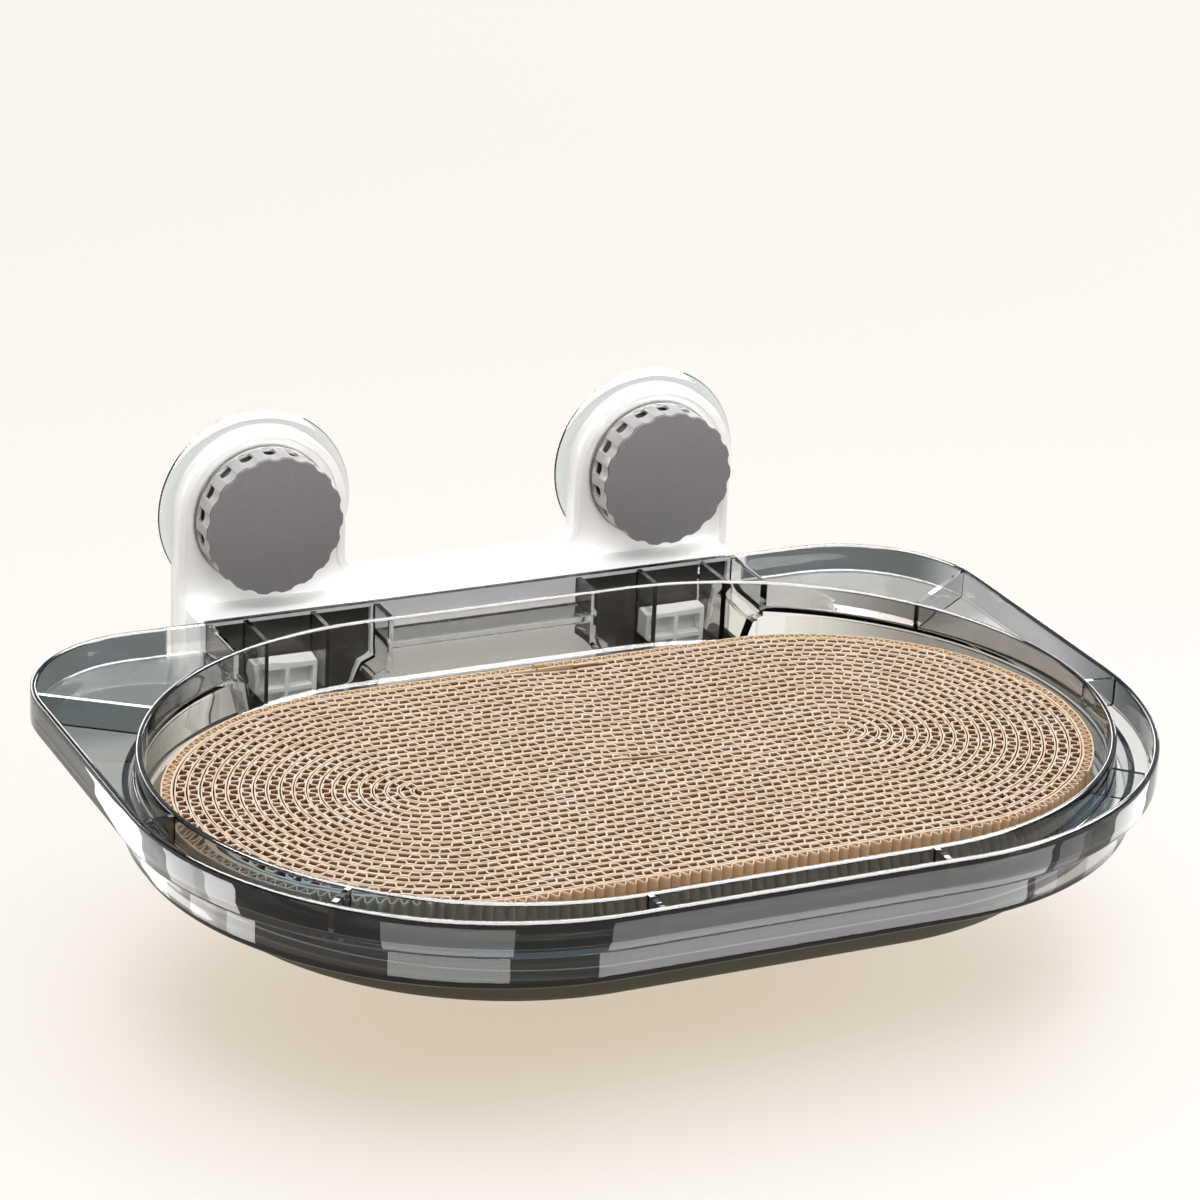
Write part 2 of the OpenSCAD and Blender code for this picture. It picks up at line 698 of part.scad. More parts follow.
module scratcher_strip() {
    count = len(strip_line);
    left = [for (i = [0 : count - 1]) strip_edge(i, 1)];
    right = [for (i = [0 : count - 1]) strip_edge(i, -1)];
    least_gap = min([for (i = [0 : count - fold_steps - 2], j = [i + fold_steps : count - 2])
        min(clear_of(left[i], left[j], left[j + 1]), clear_of(left[i], right[j], right[j + 1]),
            clear_of(right[i], left[j], left[j + 1]), clear_of(right[i], right[j], right[j + 1]))]);
    echo(least_gap_of_strip_to_itself = least_gap);
    points = [for (i = [0 : count - 1], c = [0 : 3])
        let (p = c % 3 == 0 ? left[i] : right[i]) [p[0], p[1], (c > 1 ? pad_h : 0) - pad_low]];
    last = 4 * (count - 1);
    sides = [for (i = [0 : count - 2], j = [0 : 3], k = [0, 1])
        let (a = 4 * i + j, b = 4 * i + (j + 1) % 4)
        k == 0 ? [a, b + 4, a + 4] : [a, b, b + 4]];
    ends = [[0, 2, 1], [0, 3, 2], [last, last + 1, last + 2], [last, last + 2, last + 3]];
    color("tan") polyhedron(points, concat(sides, ends));
}

module scratcher_band() {
    color("burlywood") translate([0, 0, -pad_low]) linear_extrude(pad_h) difference() {
        stadium(pad_x, pad_r, pad_y);
        stadium(pad_x, pad_r - band_t, pad_y);
    }
}

tray();
scratcher_strip();
scratcher_band();
bracket_cover();
bracket_core();
bracket_screws();
hook(-1);  // hook_left
hook(1);  // hook_right
hook_screws();
cup(-1);  // cup_left
cup(1);  // cup_right
stud(-1);  // stud_left
stud(1);  // stud_right
washer(-1);  // washer_left
washer(1);  // washer_right
knob(-1);  // knob_left
knob(1);  // knob_right
knob_cap(-1);  // knob_cap_left
knob_cap(1);  // knob_cap_right
knob_nut(-1);  // knob_nut_left
knob_nut(1);  // knob_nut_right
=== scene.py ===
import math

import bmesh
import bpy
import numpy as np
from mathutils import Matrix


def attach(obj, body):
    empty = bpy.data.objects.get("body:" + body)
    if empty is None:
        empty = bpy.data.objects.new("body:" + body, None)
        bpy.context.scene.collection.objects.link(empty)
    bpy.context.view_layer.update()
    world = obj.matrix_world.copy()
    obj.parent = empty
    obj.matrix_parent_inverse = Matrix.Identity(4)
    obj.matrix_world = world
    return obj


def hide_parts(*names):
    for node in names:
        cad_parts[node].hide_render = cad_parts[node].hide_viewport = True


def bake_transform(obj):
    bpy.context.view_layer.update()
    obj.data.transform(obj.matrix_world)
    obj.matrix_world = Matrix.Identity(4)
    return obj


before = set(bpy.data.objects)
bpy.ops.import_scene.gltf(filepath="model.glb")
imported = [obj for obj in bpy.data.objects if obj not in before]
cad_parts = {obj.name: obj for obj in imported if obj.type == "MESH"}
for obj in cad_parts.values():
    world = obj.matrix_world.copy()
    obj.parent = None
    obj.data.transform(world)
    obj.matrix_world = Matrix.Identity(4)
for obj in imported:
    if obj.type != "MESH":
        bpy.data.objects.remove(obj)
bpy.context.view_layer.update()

# Camera and studio
# The perch hangs over a plain pale floor, seen from its front left and from above. The floor
# shows to the camera, and in gloss and clear plastic, as a warm white.
scene = bpy.context.scene
scene.view_settings.view_transform = "Standard"

eye = np.array([-0.7360, -1.6751, 0.7147])
yaw, dip, roll = 0.45273, 0.37963, 0.04767
cam = bpy.data.objects.new("camera", bpy.data.cameras.new("camera"))
scene.collection.objects.link(cam)
cam.data.lens = 126.43
cam.data.sensor_width = 36.0
cam.data.clip_start = 0.05
cam.data.clip_end = 60.0
ahead = np.array([math.sin(yaw) * math.cos(dip), math.cos(yaw) * math.cos(dip), -math.sin(dip)])
across = np.array([math.cos(yaw), -math.sin(yaw), 0.0])
upright = np.cross(across, ahead)
view = np.eye(4)
view[:3, 0] = math.cos(roll) * across + math.sin(roll) * upright
view[:3, 1] = -math.sin(roll) * across + math.cos(roll) * upright
view[:3, 2] = -ahead
view[:3, 3] = eye
cam.matrix_world = Matrix(view.tolist())
scene.camera = cam


def nodes_of(name):
    """A new material, its node tree, emptied down to the output node, and that node."""
    mat = bpy.data.materials.new(name)
    mat.use_nodes = True
    tree = mat.node_tree
    for n in list(tree.nodes):
        if n.type != "OUTPUT_MATERIAL":
            tree.nodes.remove(n)
    return mat, tree, tree.nodes[0]


def fill(tree, n, inputs):
    """A node with its named inputs set to plain values or linked to other sockets."""
    for key, value in inputs.items():
        socket = n.inputs[key.replace("_", " ")]
        if isinstance(value, bpy.types.NodeSocket):
            tree.links.new(value, socket)
        else:
            socket.default_value = value
    return n


def add(tree, kind, **inputs):
    """A new node of this kind with its named inputs filled."""
    return fill(tree, tree.nodes.new(kind), inputs)


def choose(tree, factor, off, on):
    """Mix Shader that shows one shader where the factor is 0 and another where it is 1."""
    n = tree.nodes.new("ShaderNodeMixShader")
    tree.links.new(factor, n.inputs[0])
    tree.links.new(off, n.inputs[1])
    tree.links.new(on, n.inputs[2])
    return n.outputs[0]


def calc(tree, operation, *values):
    """A Math node of this kind on plain values or sockets."""
    n = tree.nodes.new("ShaderNodeMath")
    n.operation = operation
    for socket, value in zip(n.inputs, values):
        if isinstance(value, bpy.types.NodeSocket):
            tree.links.new(value, socket)
        else:
            socket.default_value = value
    return n.outputs[0]


def ease(tree, value, first, last):
    """0 up to one value and 1 past another, eased between them."""
    n = add(tree, "ShaderNodeMapRange", Value=value)
    n.interpolation_type = "SMOOTHSTEP"
    n.inputs["From Min"].default_value, n.inputs["From Max"].default_value = first, last
    return n.outputs[0]


def tint(tree, mask, under, over):
    """The colour under, changed to another where a mask is 1."""
    n = add(tree, "ShaderNodeMix", Factor=mask)
    n.data_type = "RGBA"
    for socket, value in ((n.inputs[6], under), (n.inputs[7], over)):
        if isinstance(value, bpy.types.NodeSocket):
            tree.links.new(value, socket)
        else:
            socket.default_value = (*value, 1.0)
    return n.outputs[2]


floor_mat, tree, out = nodes_of("pale_floor")
bounce = add(tree, "ShaderNodeBsdfDiffuse", Color=(0.88, 0.85, 0.80, 1.0))
paint = add(tree, "ShaderNodeBsdfDiffuse", Color=(0.330, 0.385, 0.455, 1.0))
away = add(tree, "ShaderNodeVectorMath", Vector=add(tree, "ShaderNodeTexCoord").outputs["Object"])
away.operation = "LENGTH"
far = ease(tree, away.outputs["Value"], 0.6, 2.0)
glow = add(tree, "ShaderNodeEmission", Strength=1.0,
           Color=tint(tree, far, (0.620, 0.520, 0.395), (0.672, 0.600, 0.492)))
both = tree.nodes.new("ShaderNodeAddShader")
tree.links.new(paint.outputs[0], both.inputs[0])
tree.links.new(glow.outputs[0], both.inputs[1])
path = add(tree, "ShaderNodeLightPath")
seen = path.outputs["Is Camera Ray"]
for ray in ("Is Transmission Ray", "Is Glossy Ray"):
    seen = calc(tree, "MAXIMUM", seen, path.outputs[ray])
tree.links.new(choose(tree, seen, bounce.outputs[0], both.outputs[0]), out.inputs["Surface"])

floor_z, floor_reach = -0.125, 9.0
floor_corners = [(floor_reach * x, floor_reach * y, floor_z) for x, y in ((-1, -1), (1, -1), (1, 1), (-1, 1))]
floor_mesh = bpy.data.meshes.new("floor")
floor_mesh.from_pydata(floor_corners, [], [(0, 1, 2, 3)])
floor = bpy.data.objects.new("floor", floor_mesh)
scene.collection.objects.link(floor)
floor.data.materials.append(floor_mat)

world = bpy.data.worlds.new("studio")
scene.world = world
world.use_nodes = True
tree = world.node_tree
sky_strength = 0.62
sky = tree.nodes["Background"]
sky.inputs["Color"].default_value = (1.0, 0.985, 0.965, 1.0)
sky.inputs["Strength"].default_value = sky_strength
dusk = add(tree, "ShaderNodeBackground", Color=(0.62, 0.70, 0.78, 1.0), Strength=sky_strength)
path = add(tree, "ShaderNodeLightPath")
tree.links.new(choose(tree, path.outputs["Is Glossy Ray"], sky.outputs[0], dusk.outputs[0]),
               tree.nodes["World Output"].inputs["Surface"])


def lamp(name, size, power, place, aim):
    """A soft white oblong lamp of this size, at a place, facing an aim point."""
    light = bpy.data.lights.new(name, "AREA")
    light.shape = "RECTANGLE"
    light.size, light.size_y = size
    light.energy = power
    ob = bpy.data.objects.new(name, light)
    scene.collection.objects.link(ob)
    way = np.array(aim) - np.array(place)
    way /= np.linalg.norm(way)
    side = np.cross(way, (0.0, 0.0, 1.0))
    side /= np.linalg.norm(side)
    m = np.eye(4)
    m[:3, 0], m[:3, 1], m[:3, 2], m[:3, 3] = side, np.cross(side, way), -way, place
    ob.matrix_world = Matrix(m.tolist())


lamp("key", size=(1.1, 1.1), power=22.0, place=(-0.5, -1.0, 1.9), aim=(0.0, -0.2, 0.0))
lamp("fill", size=(1.6, 1.0), power=7.5, place=(1.6, -1.2, 1.2), aim=(0.0, -0.2, 0.0))
lamp("top", size=(1.8, 1.8), power=16.0, place=(0.6, 0.2, 2.3), aim=(0.0, -0.15, 0.0))


def glare(name, corners, strength):
    """A bright strip that shows only in gloss and clear plastic, from lower and upper corners in turn."""
    mat, tree, out = nodes_of(name)
    light = add(tree, "ShaderNodeEmission", Color=(1.0, 0.985, 0.97, 1.0), Strength=strength)
    tree.links.new(light.outputs[0], out.inputs["Surface"])
    mat.cycles.emission_sampling = "NONE"
    mesh = bpy.data.meshes.new(name)
    faces = [(k, k + 2, k + 3, k + 1) for k in range(0, len(corners) - 2, 2)]
    mesh.from_pydata([tuple(map(float, c)) for c in corners], [], faces)
    ob = bpy.data.objects.new(name, mesh)
    scene.collection.objects.link(ob)
    mesh.materials.append(mat)
    ob.visible_camera = ob.visible_diffuse = ob.visible_shadow = ob.visible_transmission = False


skirt_x, skirt_front = 0.230, -0.3645
corner_x, corner_y, corner_r = 0.075, -0.2095, 0.155
skirt_rear, skirt_step = -0.0926, 0.01169


def corner_point(side, degrees):
    """Point and outward way on a front corner of the tray, at a bearing about the corner's middle."""
    way = np.array([math.cos(math.radians(degrees)), math.sin(math.radians(degrees))])
    return np.array([side * corner_x, corner_y]) + corner_r * way, way


def skirt_point(s):
    """Point and outward way on the tray's outer wall, in metres, walked from the left rear to the right.

    s runs 10 along each straight side and 90 round each front corner, from 0 at the left rear."""
    if s < 10:
        return np.array([-skirt_x, skirt_rear - skirt_step * s]), np.array([-1.0, 0.0])
    if s > 110 - 1e-9:
        return corner_point(1, s - 200)
    if s > 100:
        return np.array([-corner_x + 2 * corner_x * (s - 100) / 10, skirt_front]), np.array([0.0, -1.0])
    return corner_point(-1, s + 170)


card_away, card_fall = 0.12, 0.44
card_foot, card_seam, card_head = -0.052, -0.025, 0.006


def reflector(name, first, last, strength, low_share):
    """A white card that the outer wall mirrors towards the camera between two places on it.

    Each of its points lies at a distance along the line of sight mirrored in the wall at that place,
    which falls with it. Its lower strip has a share of the strength of the upper one."""
    corners = []
    for s in np.linspace(first, last, 24):
        place, way = skirt_point(s)
        sight = place - eye[:2]
        sight /= np.linalg.norm(sight)
        mirrored = sight - 2 * (sight @ way) * way
        corners.append(place + card_away * mirrored)
    halves = (("_low", card_foot, card_seam, low_share), ("_high", card_seam, card_head, 1.0))
    for part, low, high, share in halves:
        strip = [(x, y, rise - card_fall * card_away) for x, y in corners for rise in (low, high)]
        glare(name + part, strip, strength * share)


# White sheets and cards stand about the perch, as they do round any glossy thing in a studio. They
# light nothing, and show only as the bright lines along the rims and the pale panels in the walls.
sheet_ends = (-1.6, 2.4)
sheet_glow, rear_glow = 34.0, 12.0
glare("sheet_overhead", [(x, y, 1.6) for x in sheet_ends for y in (-1.2, 1.2)], sheet_glow)
glare("sheet_front", [(x, y, z) for x in sheet_ends for y, z in ((-2.2, 0.5), (-1.2, 1.6))], sheet_glow)
glare("sheet_rear", [(x, 1.4, z) for x in (-1.8, 2.4) for z in (0.12, 0.48)], rear_glow)
for first, last, strength, low_share in (
        (6.6, 16.0, 9.0, 0.8), (16.0, 23.3, 3.7, 0.8), (23.3, 30.0, 11.0, 0.8), (30.0, 32.5, 9.0, 0.8),
        (32.5, 38.6, 17.0, 0.8), (62.3, 81.6, 5.6, 1.7), (96.0, 124.3, 5.6, 1.8), (126.0, 131.6, 3.2, 1.3),
        (131.6, 133.4, 1.8, 1.0), (134.0, 136.0, 1.2, 1.0), (140.3, 153.0, 5.4, 0.5)):
    reflector("card_%.0f" % first, first, last, strength, low_share)


# Tray
# One injection moulding in clear smoked plastic: a raised outer wall, a channel floor, the deep
# bowl and its foot ring, with rounded rims, and behind it the sockets that drop over the hooks.
MM = 0.001
# From here on sizes are in millimetres, and depths run from the mounting plane y = 0 towards -y.
tray_half_w, tray_half_d, tray_y = 230.0, 166.95, -197.55
rear_corner_r, front_corner_r = 62.0, 155.0
bowl_x, bowl_y, bowl_r, wall = 65.0, -200.8, 147.0, 2.8
bowl_out_r, rim_r = bowl_r + wall, wall / 2
lower_x, lower_inset = 70.7, 9.5
floor_top, floor_under = -31, -33.8
channel_top, channel_under = -13.2, -16
ring_out, ring_in, ring_end = 130, 127.2, -53
cup_x, cup_z = 97.6, 40.2
mouth_in, mouth_out = 52.0, 129.6
rear_face, rear_inner = -30.6, -34.1
past_wall = -90.0


def bowl_frame():
    """Round the bowl: points on its middle line and the way out from each.

    Each end of the middle line sweeps 180 degrees of directions, and straight runs join them."""
    turn = np.radians(np.linspace(-90, 90, 121))
    run = np.linspace(bowl_x, -bowl_x, 24)[1:-1]
    spine = np.concatenate([np.full(len(turn), bowl_x), run, np.full(len(turn), -bowl_x), -run])
    angle = np.concatenate([turn, np.full(len(run), np.pi / 2), turn + np.pi, np.full(len(run), -np.pi / 2)])
    ways = np.stack([np.cos(angle), np.sin(angle)], 1)
    return np.stack([spine, np.full(len(spine), bowl_y)], 1), ways


def tray_depth(p):
    """Signed distance of points outside the tray's outer plan.

    It is a box whose rear corners are rounded less than its front corners."""
    x, y = np.abs(p[:, 0]), p[:, 1] - tray_y
    r = np.where(y > 0, rear_corner_r, front_corner_r)
    q = np.stack([x - tray_half_w + r, np.abs(y) - tray_half_d + r], 1)
    return np.minimum(q.max(1), 0) + np.linalg.norm(np.maximum(q, 0), axis=1) - r


spine, ways = bowl_frame()


def bowl_ring(r, z):
    """Ring round the bowl at distance r from its middle line."""
    p = spine + r * ways
    return np.column_stack([p, np.full(len(p), z)])


def lower_depth(p):
    """Signed distance of points outside the lower wall's plan.

    In front it is the tray's own plan drawn in; behind, a round-ended form as wide as the bowl's outside
    about a slightly longer middle line."""
    reach = np.maximum(np.abs(p[:, 0]) - lower_x, 0)
    behind = np.hypot(reach, p[:, 1] - bowl_y) - bowl_out_r
    return np.where(p[:, 1] < bowl_y, tray_depth(p) + lower_inset, behind)


def outer_ring(inset, z, depth=tray_depth):
    """Ring inside a plan by an inset, found along each way by halving steps."""
    low, high = np.full(len(spine), 60.0), np.full(len(spine), 330.0)
    for _ in range(40):
        mid = (low + high) / 2
        outside = depth(spine + mid[:, None] * ways) > -inset
        high, low = np.where(outside, mid, high), np.where(outside, low, mid)
    p = spine + low[:, None] * ways
    return np.column_stack([p, np.full(len(p), z)])


def bend(a0, a1, n):
    """Cosines and sines of n angles from a0 to a1 in degrees."""
    a = np.radians(np.linspace(a0, a1, n))
    return list(zip(np.cos(a), np.sin(a)))


def skin(name, rings, loop=False):
    """A closed skin through rings of points (rings x points x 3, in millimetres), with a face at each end.

    With loop the last ring joins the first instead, which makes a hollow ring."""
    rings = np.asarray(rings, float) * MM
    m, n = rings.shape[:2]
    i, j = np.meshgrid(np.arange(m if loop else m - 1), np.arange(n), indexing="ij")
    after, side = (i + 1) % m, (j + 1) % n
    faces = np.stack([i * n + j, i * n + side, after * n + side, after * n + j], -1).reshape(-1, 4).tolist()
    if not loop:
        faces += [list(range(n))[::-1], list(range((m - 1) * n, m * n))]
    mesh = bpy.data.meshes.new(name)
    mesh.from_pydata(rings.reshape(-1, 3).tolist(), [], faces)
    ob = bpy.data.objects.new(name, mesh)
    scene.collection.objects.link(ob)
    return ob


def prism(name, plan, low, high, way="z"):
    """A closed prism in millimetres: a plan outline carried from one height to another.

    way z lifts an x, y outline; way y pushes an x, z outline out from the mounting plane."""
    plan = np.asarray(plan, float)
    layers = []
    for h in (low, high):
        flat = np.full(len(plan), float(h))
        layers.append(np.column_stack([plan, flat] if way == "z" else [plan[:, 0], -flat, plan[:, 1]]))
    return skin(name, layers)


def outward(ob):
    """Merges doubles and turns every face of a closed mesh outwards."""
    bm = bmesh.new()
    bm.from_mesh(ob.data)
    bmesh.ops.remove_doubles(bm, verts=bm.verts, dist=1e-6)
    bmesh.ops.recalc_face_normals(bm, faces=bm.faces)
    bm.to_mesh(ob.data)
    bm.free()


def carve(ob, others, kind):
    """Joins, cuts or crosses a closed mesh with others, which are used up."""
    outward(ob)
    for other in others:
        outward(other)
        cutter = ob.modifiers.new("carve", "BOOLEAN")
        cutter.object = other
        cutter.operation = kind
        cutter.solver = "EXACT"
        done = bpy.data.meshes.new_from_object(ob.evaluated_get(bpy.context.evaluated_depsgraph_get()))
        ob.modifiers.clear()
        ob.data = done
        bpy.data.objects.remove(other)
    return ob


def smooth(ob, degrees):
    """Smooth shading, with an edge kept sharp where its faces turn by more than this."""
    ob.data.polygons.foreach_set("use_smooth", [True] * len(ob.data.polygons))
    ob.data.set_sharp_from_angle(angle=math.radians(degrees))
    ob.data.update()


def dress(ob, mat):
    """Gives a piece or a CAD node this one material."""
    ob.data.materials.clear()
    ob.data.materials.append(mat)


def tray_shell():
    """The tray's skin from the middle of the bowl floor, over both rims, to the middle underneath.

    Each ring is a distance from the bowl's middle line or an inset from the outer plan, and a height."""
    b, o, rings = bowl_ring, outer_ring, []
    rings += [b(r, floor_top) for r in (12, 50, 95, 130)]
    rings += [b(bowl_r - 3 + 3 * c, floor_top + 3 + 3 * s) for c, s in bend(-90, 0, 6)]
    rings += [b(bowl_r, -20), b(bowl_r, -10)]
    rings += [b(bowl_r + rim_r + rim_r * c, -rim_r + rim_r * s) for c, s in bend(180, 0, 9)]
    rings += [b(bowl_out_r, -6)]
    rings += [b(bowl_out_r + 1.2 + 1.2 * c, channel_top + 1.2 + 1.2 * s) for c, s in bend(180, 270, 5)]
    rings += [o(wall + 1.2 - 1.2 * c, channel_top + 1.2 + 1.2 * s) for c, s in bend(270, 360, 5)]
    rings += [o(wall, -6)]
    rings += [o(rim_r - rim_r * c, -rim_r + rim_r * s) for c, s in bend(180, 0, 9)]
    rings += [o(0, -5), o(0, -10)]
    rings += [o(1.5 - 1.5 * c, channel_under + 1.5 + 1.5 * s) for c, s in bend(0, -90, 6)]
    rings += [b(bowl_out_r + 0.8 + 0.8 * c, channel_under - 0.8 + 0.8 * s) for c, s in bend(90, 180, 4)]
    rings += [b(bowl_out_r, -24)]
    rings += [b(bowl_out_r - 3 + 3 * c, floor_under + 3 + 3 * s) for c, s in bend(0, -90, 7)]
    rings += [b(ring_out + 1.2, floor_under), b(ring_out + 0.2, floor_under - 0.6)]
    rings += [b(ring_out, floor_under - 1.4), b(ring_out, -44)]
    rings += [b(ring_out - rim_r + rim_r * c, ring_end + rim_r + rim_r * s) for c, s in bend(0, -180, 9)]
    rings += [b(ring_in, -44), b(ring_in, -35), b(ring_in - 0.8, floor_under)]
    rings += [b(r, floor_under) for r in (90, 50, 12)]
    return skin("tray_body", rings)


def lower_wall():
    """Skin of the wall under the channel, with a rounded foot, open where the sockets stand."""
    def ring(inset, z):
        return outer_ring(inset, z, lower_depth)

    rings = [ring(0, -15), ring(0, -22), ring(0, -30)]
    rings += [ring(rim_r - rim_r * c, floor_under + rim_r + rim_r * s) for c, s in bend(0, -180, 9)]
    rings += [ring(wall, -30), ring(wall, -22), ring(wall, -15)]
    sockets = [(-mouth_out, bowl_y), (mouth_out, bowl_y), (mouth_out, 0), (-mouth_out, 0)]
    return carve(skin("lower_wall", rings, loop=True), [prism("gap", sockets, -60, 10)], "DIFFERENCE")


def funnel(side, grow, top, low):
    """Mouth, shoulders and throat of one socket as an x, z outline, grown outwards by a margin."""
    points = np.array([(mouth_in - grow, -top), (mouth_in - grow, -24.5 - grow), (58 - grow, -27.5 - grow),
                       (67 - grow, -low), (116 + grow, -low), (124.6 + grow, -18 - grow),
                       (mouth_out + grow, -15.5 - grow), (mouth_out + grow, -top)])
    return points * (side, 1)


def round_plan(r):
    """Round-ended outline about the bowl's middle line, counter-clockwise."""
    right = np.array(bend(-90, 90, 65)) * r + (bowl_x, bowl_y)
    left = np.array(bend(90, 270, 65)) * r + (-bowl_x, bowl_y)
    return np.concatenate([right, left])


def slab(name, corners, low, high):
    """An upright box between two opposite corners of its plan, from one height to another."""
    (x0, y0), (x1, y1) = corners
    return prism(name, [(x0, y0), (x1, y0), (x1, y1), (x0, y1)], low, high)


tray = tray_shell()
for side in (-1, 1):
    slot_cut = slab("cut", ((side * mouth_in, rear_inner), (side * mouth_out, past_wall)), -12, -18)
    carve(slot_cut, [prism("bowl", round_plan(bowl_out_r + 0.05), -30, 0)], "DIFFERENCE")
    carve(tray, [slot_cut], "DIFFERENCE")
rear_end = mouth_out + wall
extras = [slab("rear", ((-rear_end, rear_face), (rear_end, rear_inner)), -50, -0.02)]
hook_rib_t, hook_rib_places = 2.2, (-17.2, 15)
rib_half, rib_angles = 1.1, (35.7, -7.3, -44.3, -90.4)
for side in (-1, 1):
    sleeve = prism("sleeve", funnel(side, wall, 0.5, 50), 33, 100, "y")
    carve(sleeve, [prism("hollow", funnel(side, 0, -1, 51), 32, 101, "y")], "DIFFERENCE")
    extras.append(sleeve)
    for x in hook_rib_places:
        low_x = side * cup_x + x
        extras.append(slab("rib", ((low_x, -33), (low_x + hook_rib_t, past_wall)), -46.5, -0.3))
    for turn in rib_angles:
        way = np.array([math.cos(math.radians(turn)), math.sin(math.radians(turn))])
        cross = np.array([-way[1], way[0]])
        ends = ((120, -rib_half), (230, -rib_half), (230, rib_half), (120, rib_half))
        plan = [np.array([bowl_x, bowl_y]) + t * way + w * cross for t, w in ends]
        rib = prism("rib", np.array(plan) * (side, 1), -14.5, -0.3)
        carve(rib, [prism("inside", outer_ring(rim_r, 0)[:, :2], -20, 5)], "INTERSECT")
        extras.append(rib)
extras.append(lower_wall())
for ob in extras:
    carve(ob, [prism("bowl", round_plan(bowl_r + rim_r), -60, 5)], "DIFFERENCE")
carve(tray, extras, "UNION")
for side in (-1, 1):
    notch_ends = ((side * cup_x - 15, -29), (side * cup_x + 15, -35.1))
    carve(tray, [slab("notch", notch_ends, -51, -42.5)], "DIFFERENCE")
tray.name = "tray_moulding"
smooth(tray, 34)


def hypot(tree, a, b):
    """Square root of the sum of two squares, as nodes."""
    return calc(tree, "SQRT", calc(tree, "ADD", *(calc(tree, "MULTIPLY", v, v) for v in (a, b))))


def plan_depth(tree, x, y):
    """Signed distance outside the tray's outer plan in metres, as tray_depth works it out."""
    deep = calc(tree, "SUBTRACT", y, MM * tray_y)
    behind = calc(tree, "GREATER_THAN", deep, 0.0)
    less_round = calc(tree, "MULTIPLY", behind, MM * (front_corner_r - rear_corner_r))
    r = calc(tree, "SUBTRACT", MM * front_corner_r, less_round)
    q = [calc(tree, "ADD", calc(tree, "SUBTRACT", calc(tree, "ABSOLUTE", v), MM * half), r)
         for v, half in ((x, tray_half_w), (deep, tray_half_d))]
    corner = hypot(tree, *(calc(tree, "MAXIMUM", v, 0.0) for v in q))
    flat = calc(tree, "MINIMUM", calc(tree, "MAXIMUM", *q), 0.0)
    return calc(tree, "SUBTRACT", calc(tree, "ADD", corner, flat), r)


def effect(name, takes, gives):
    """A new node group for an effect that several materials share, with its input and output sockets.

    It takes and gives sockets by name, each of a kind: Float, Vector or Color."""
    group = bpy.data.node_groups.new(name, "ShaderNodeTree")
    for way, sockets in (("INPUT", takes), ("OUTPUT", gives)):
        for key, kind in sockets.items():
            group.interface.new_socket(name=key, in_out=way, socket_type="NodeSocket" + kind)
    return group, group.nodes.new("NodeGroupInput").outputs, group.nodes.new("NodeGroupOutput").inputs


def placed(tree, group, **inputs):
    """A node group placed in a material with its own values on its named inputs."""
    n = tree.nodes.new("ShaderNodeGroup")
    n.node_tree = group
    return fill(tree, n, inputs)


# Moulded plastic is never quite flat: soft noise at a place raises its surface a little.
ripple, given, shown = effect(
    "moulded_ripple", dict(Place="Vector", Scale="Float", Detail="Float", Strength="Float", Distance="Float"),
    dict(Pattern="Float", Normal="Vector"))
waves = add(ripple, "ShaderNodeTexNoise", Vector=given["Place"], Scale=given["Scale"], Detail=given["Detail"])
swell = add(ripple, "ShaderNodeBump", Strength=given["Strength"], Distance=given["Distance"],
            Height=waves.outputs["Fac"])
ripple.links.new(waves.outputs["Fac"], shown["Pattern"])
ripple.links.new(swell.outputs[0], shown["Normal"])

# The smoke's tint is painted light and shade, set place by place: painted shade makes the front of the outer
# wall nearly black and darkens the ears, the ends and front of the bowl and its underside, and the rolled
# rims and the lower wall's foot are painted as darker lines; painted light makes the rear of the bowl, the
# right end and the wall in front of the bracket pale and clear.
smoke, tree, out = nodes_of("smoked_plastic")
where = add(tree, "ShaderNodeTexCoord").outputs["Object"]
x, y, z = add(tree, "ShaderNodeSeparateXYZ", Vector=where).outputs
width = calc(tree, "ABSOLUTE", x)
past_end = calc(tree, "MAXIMUM", calc(tree, "SUBTRACT", width, MM * bowl_x), 0.0)
bowl_reach = hypot(tree, past_end, calc(tree, "SUBTRACT", y, MM * bowl_y))
in_bowl_wall = calc(tree, "COMPARE", bowl_reach, MM * (bowl_r + rim_r), 0.0019)
at_ribs = calc(tree, "MAXIMUM", calc(tree, "GREATER_THAN", width, 0.135), calc(tree, "LESS_THAN", y, -0.1))
before_bracket = calc(tree, "LESS_THAN", calc(tree, "ABSOLUTE", calc(tree, "ADD", x, 0.006)), 0.1445)
in_rear_wall = calc(tree, "MULTIPLY", calc(tree, "GREATER_THAN", y, -0.0347), before_bracket)
above = calc(tree, "GREATER_THAN", z, -0.0162)
in_outer = calc(tree, "MULTIPLY", calc(tree, "GREATER_THAN", plan_depth(tree, x, y), -0.0030), above)
in_walls = calc(tree, "MAXIMUM", in_outer, in_bowl_wall)
rim_painted_shade = calc(tree, "MULTIPLY", calc(tree, "GREATER_THAN", z, -0.0012), in_walls)
forward, sideways = ease(tree, y, -0.20, -0.30), ease(tree, width, 0.14, 0.19)
right, rear = ease(tree, x, 0.05, 0.16), ease(tree, y, -0.125, -0.100)
right_rear = calc(tree, "MULTIPLY", right, ease(tree, y, -0.24, -0.16))
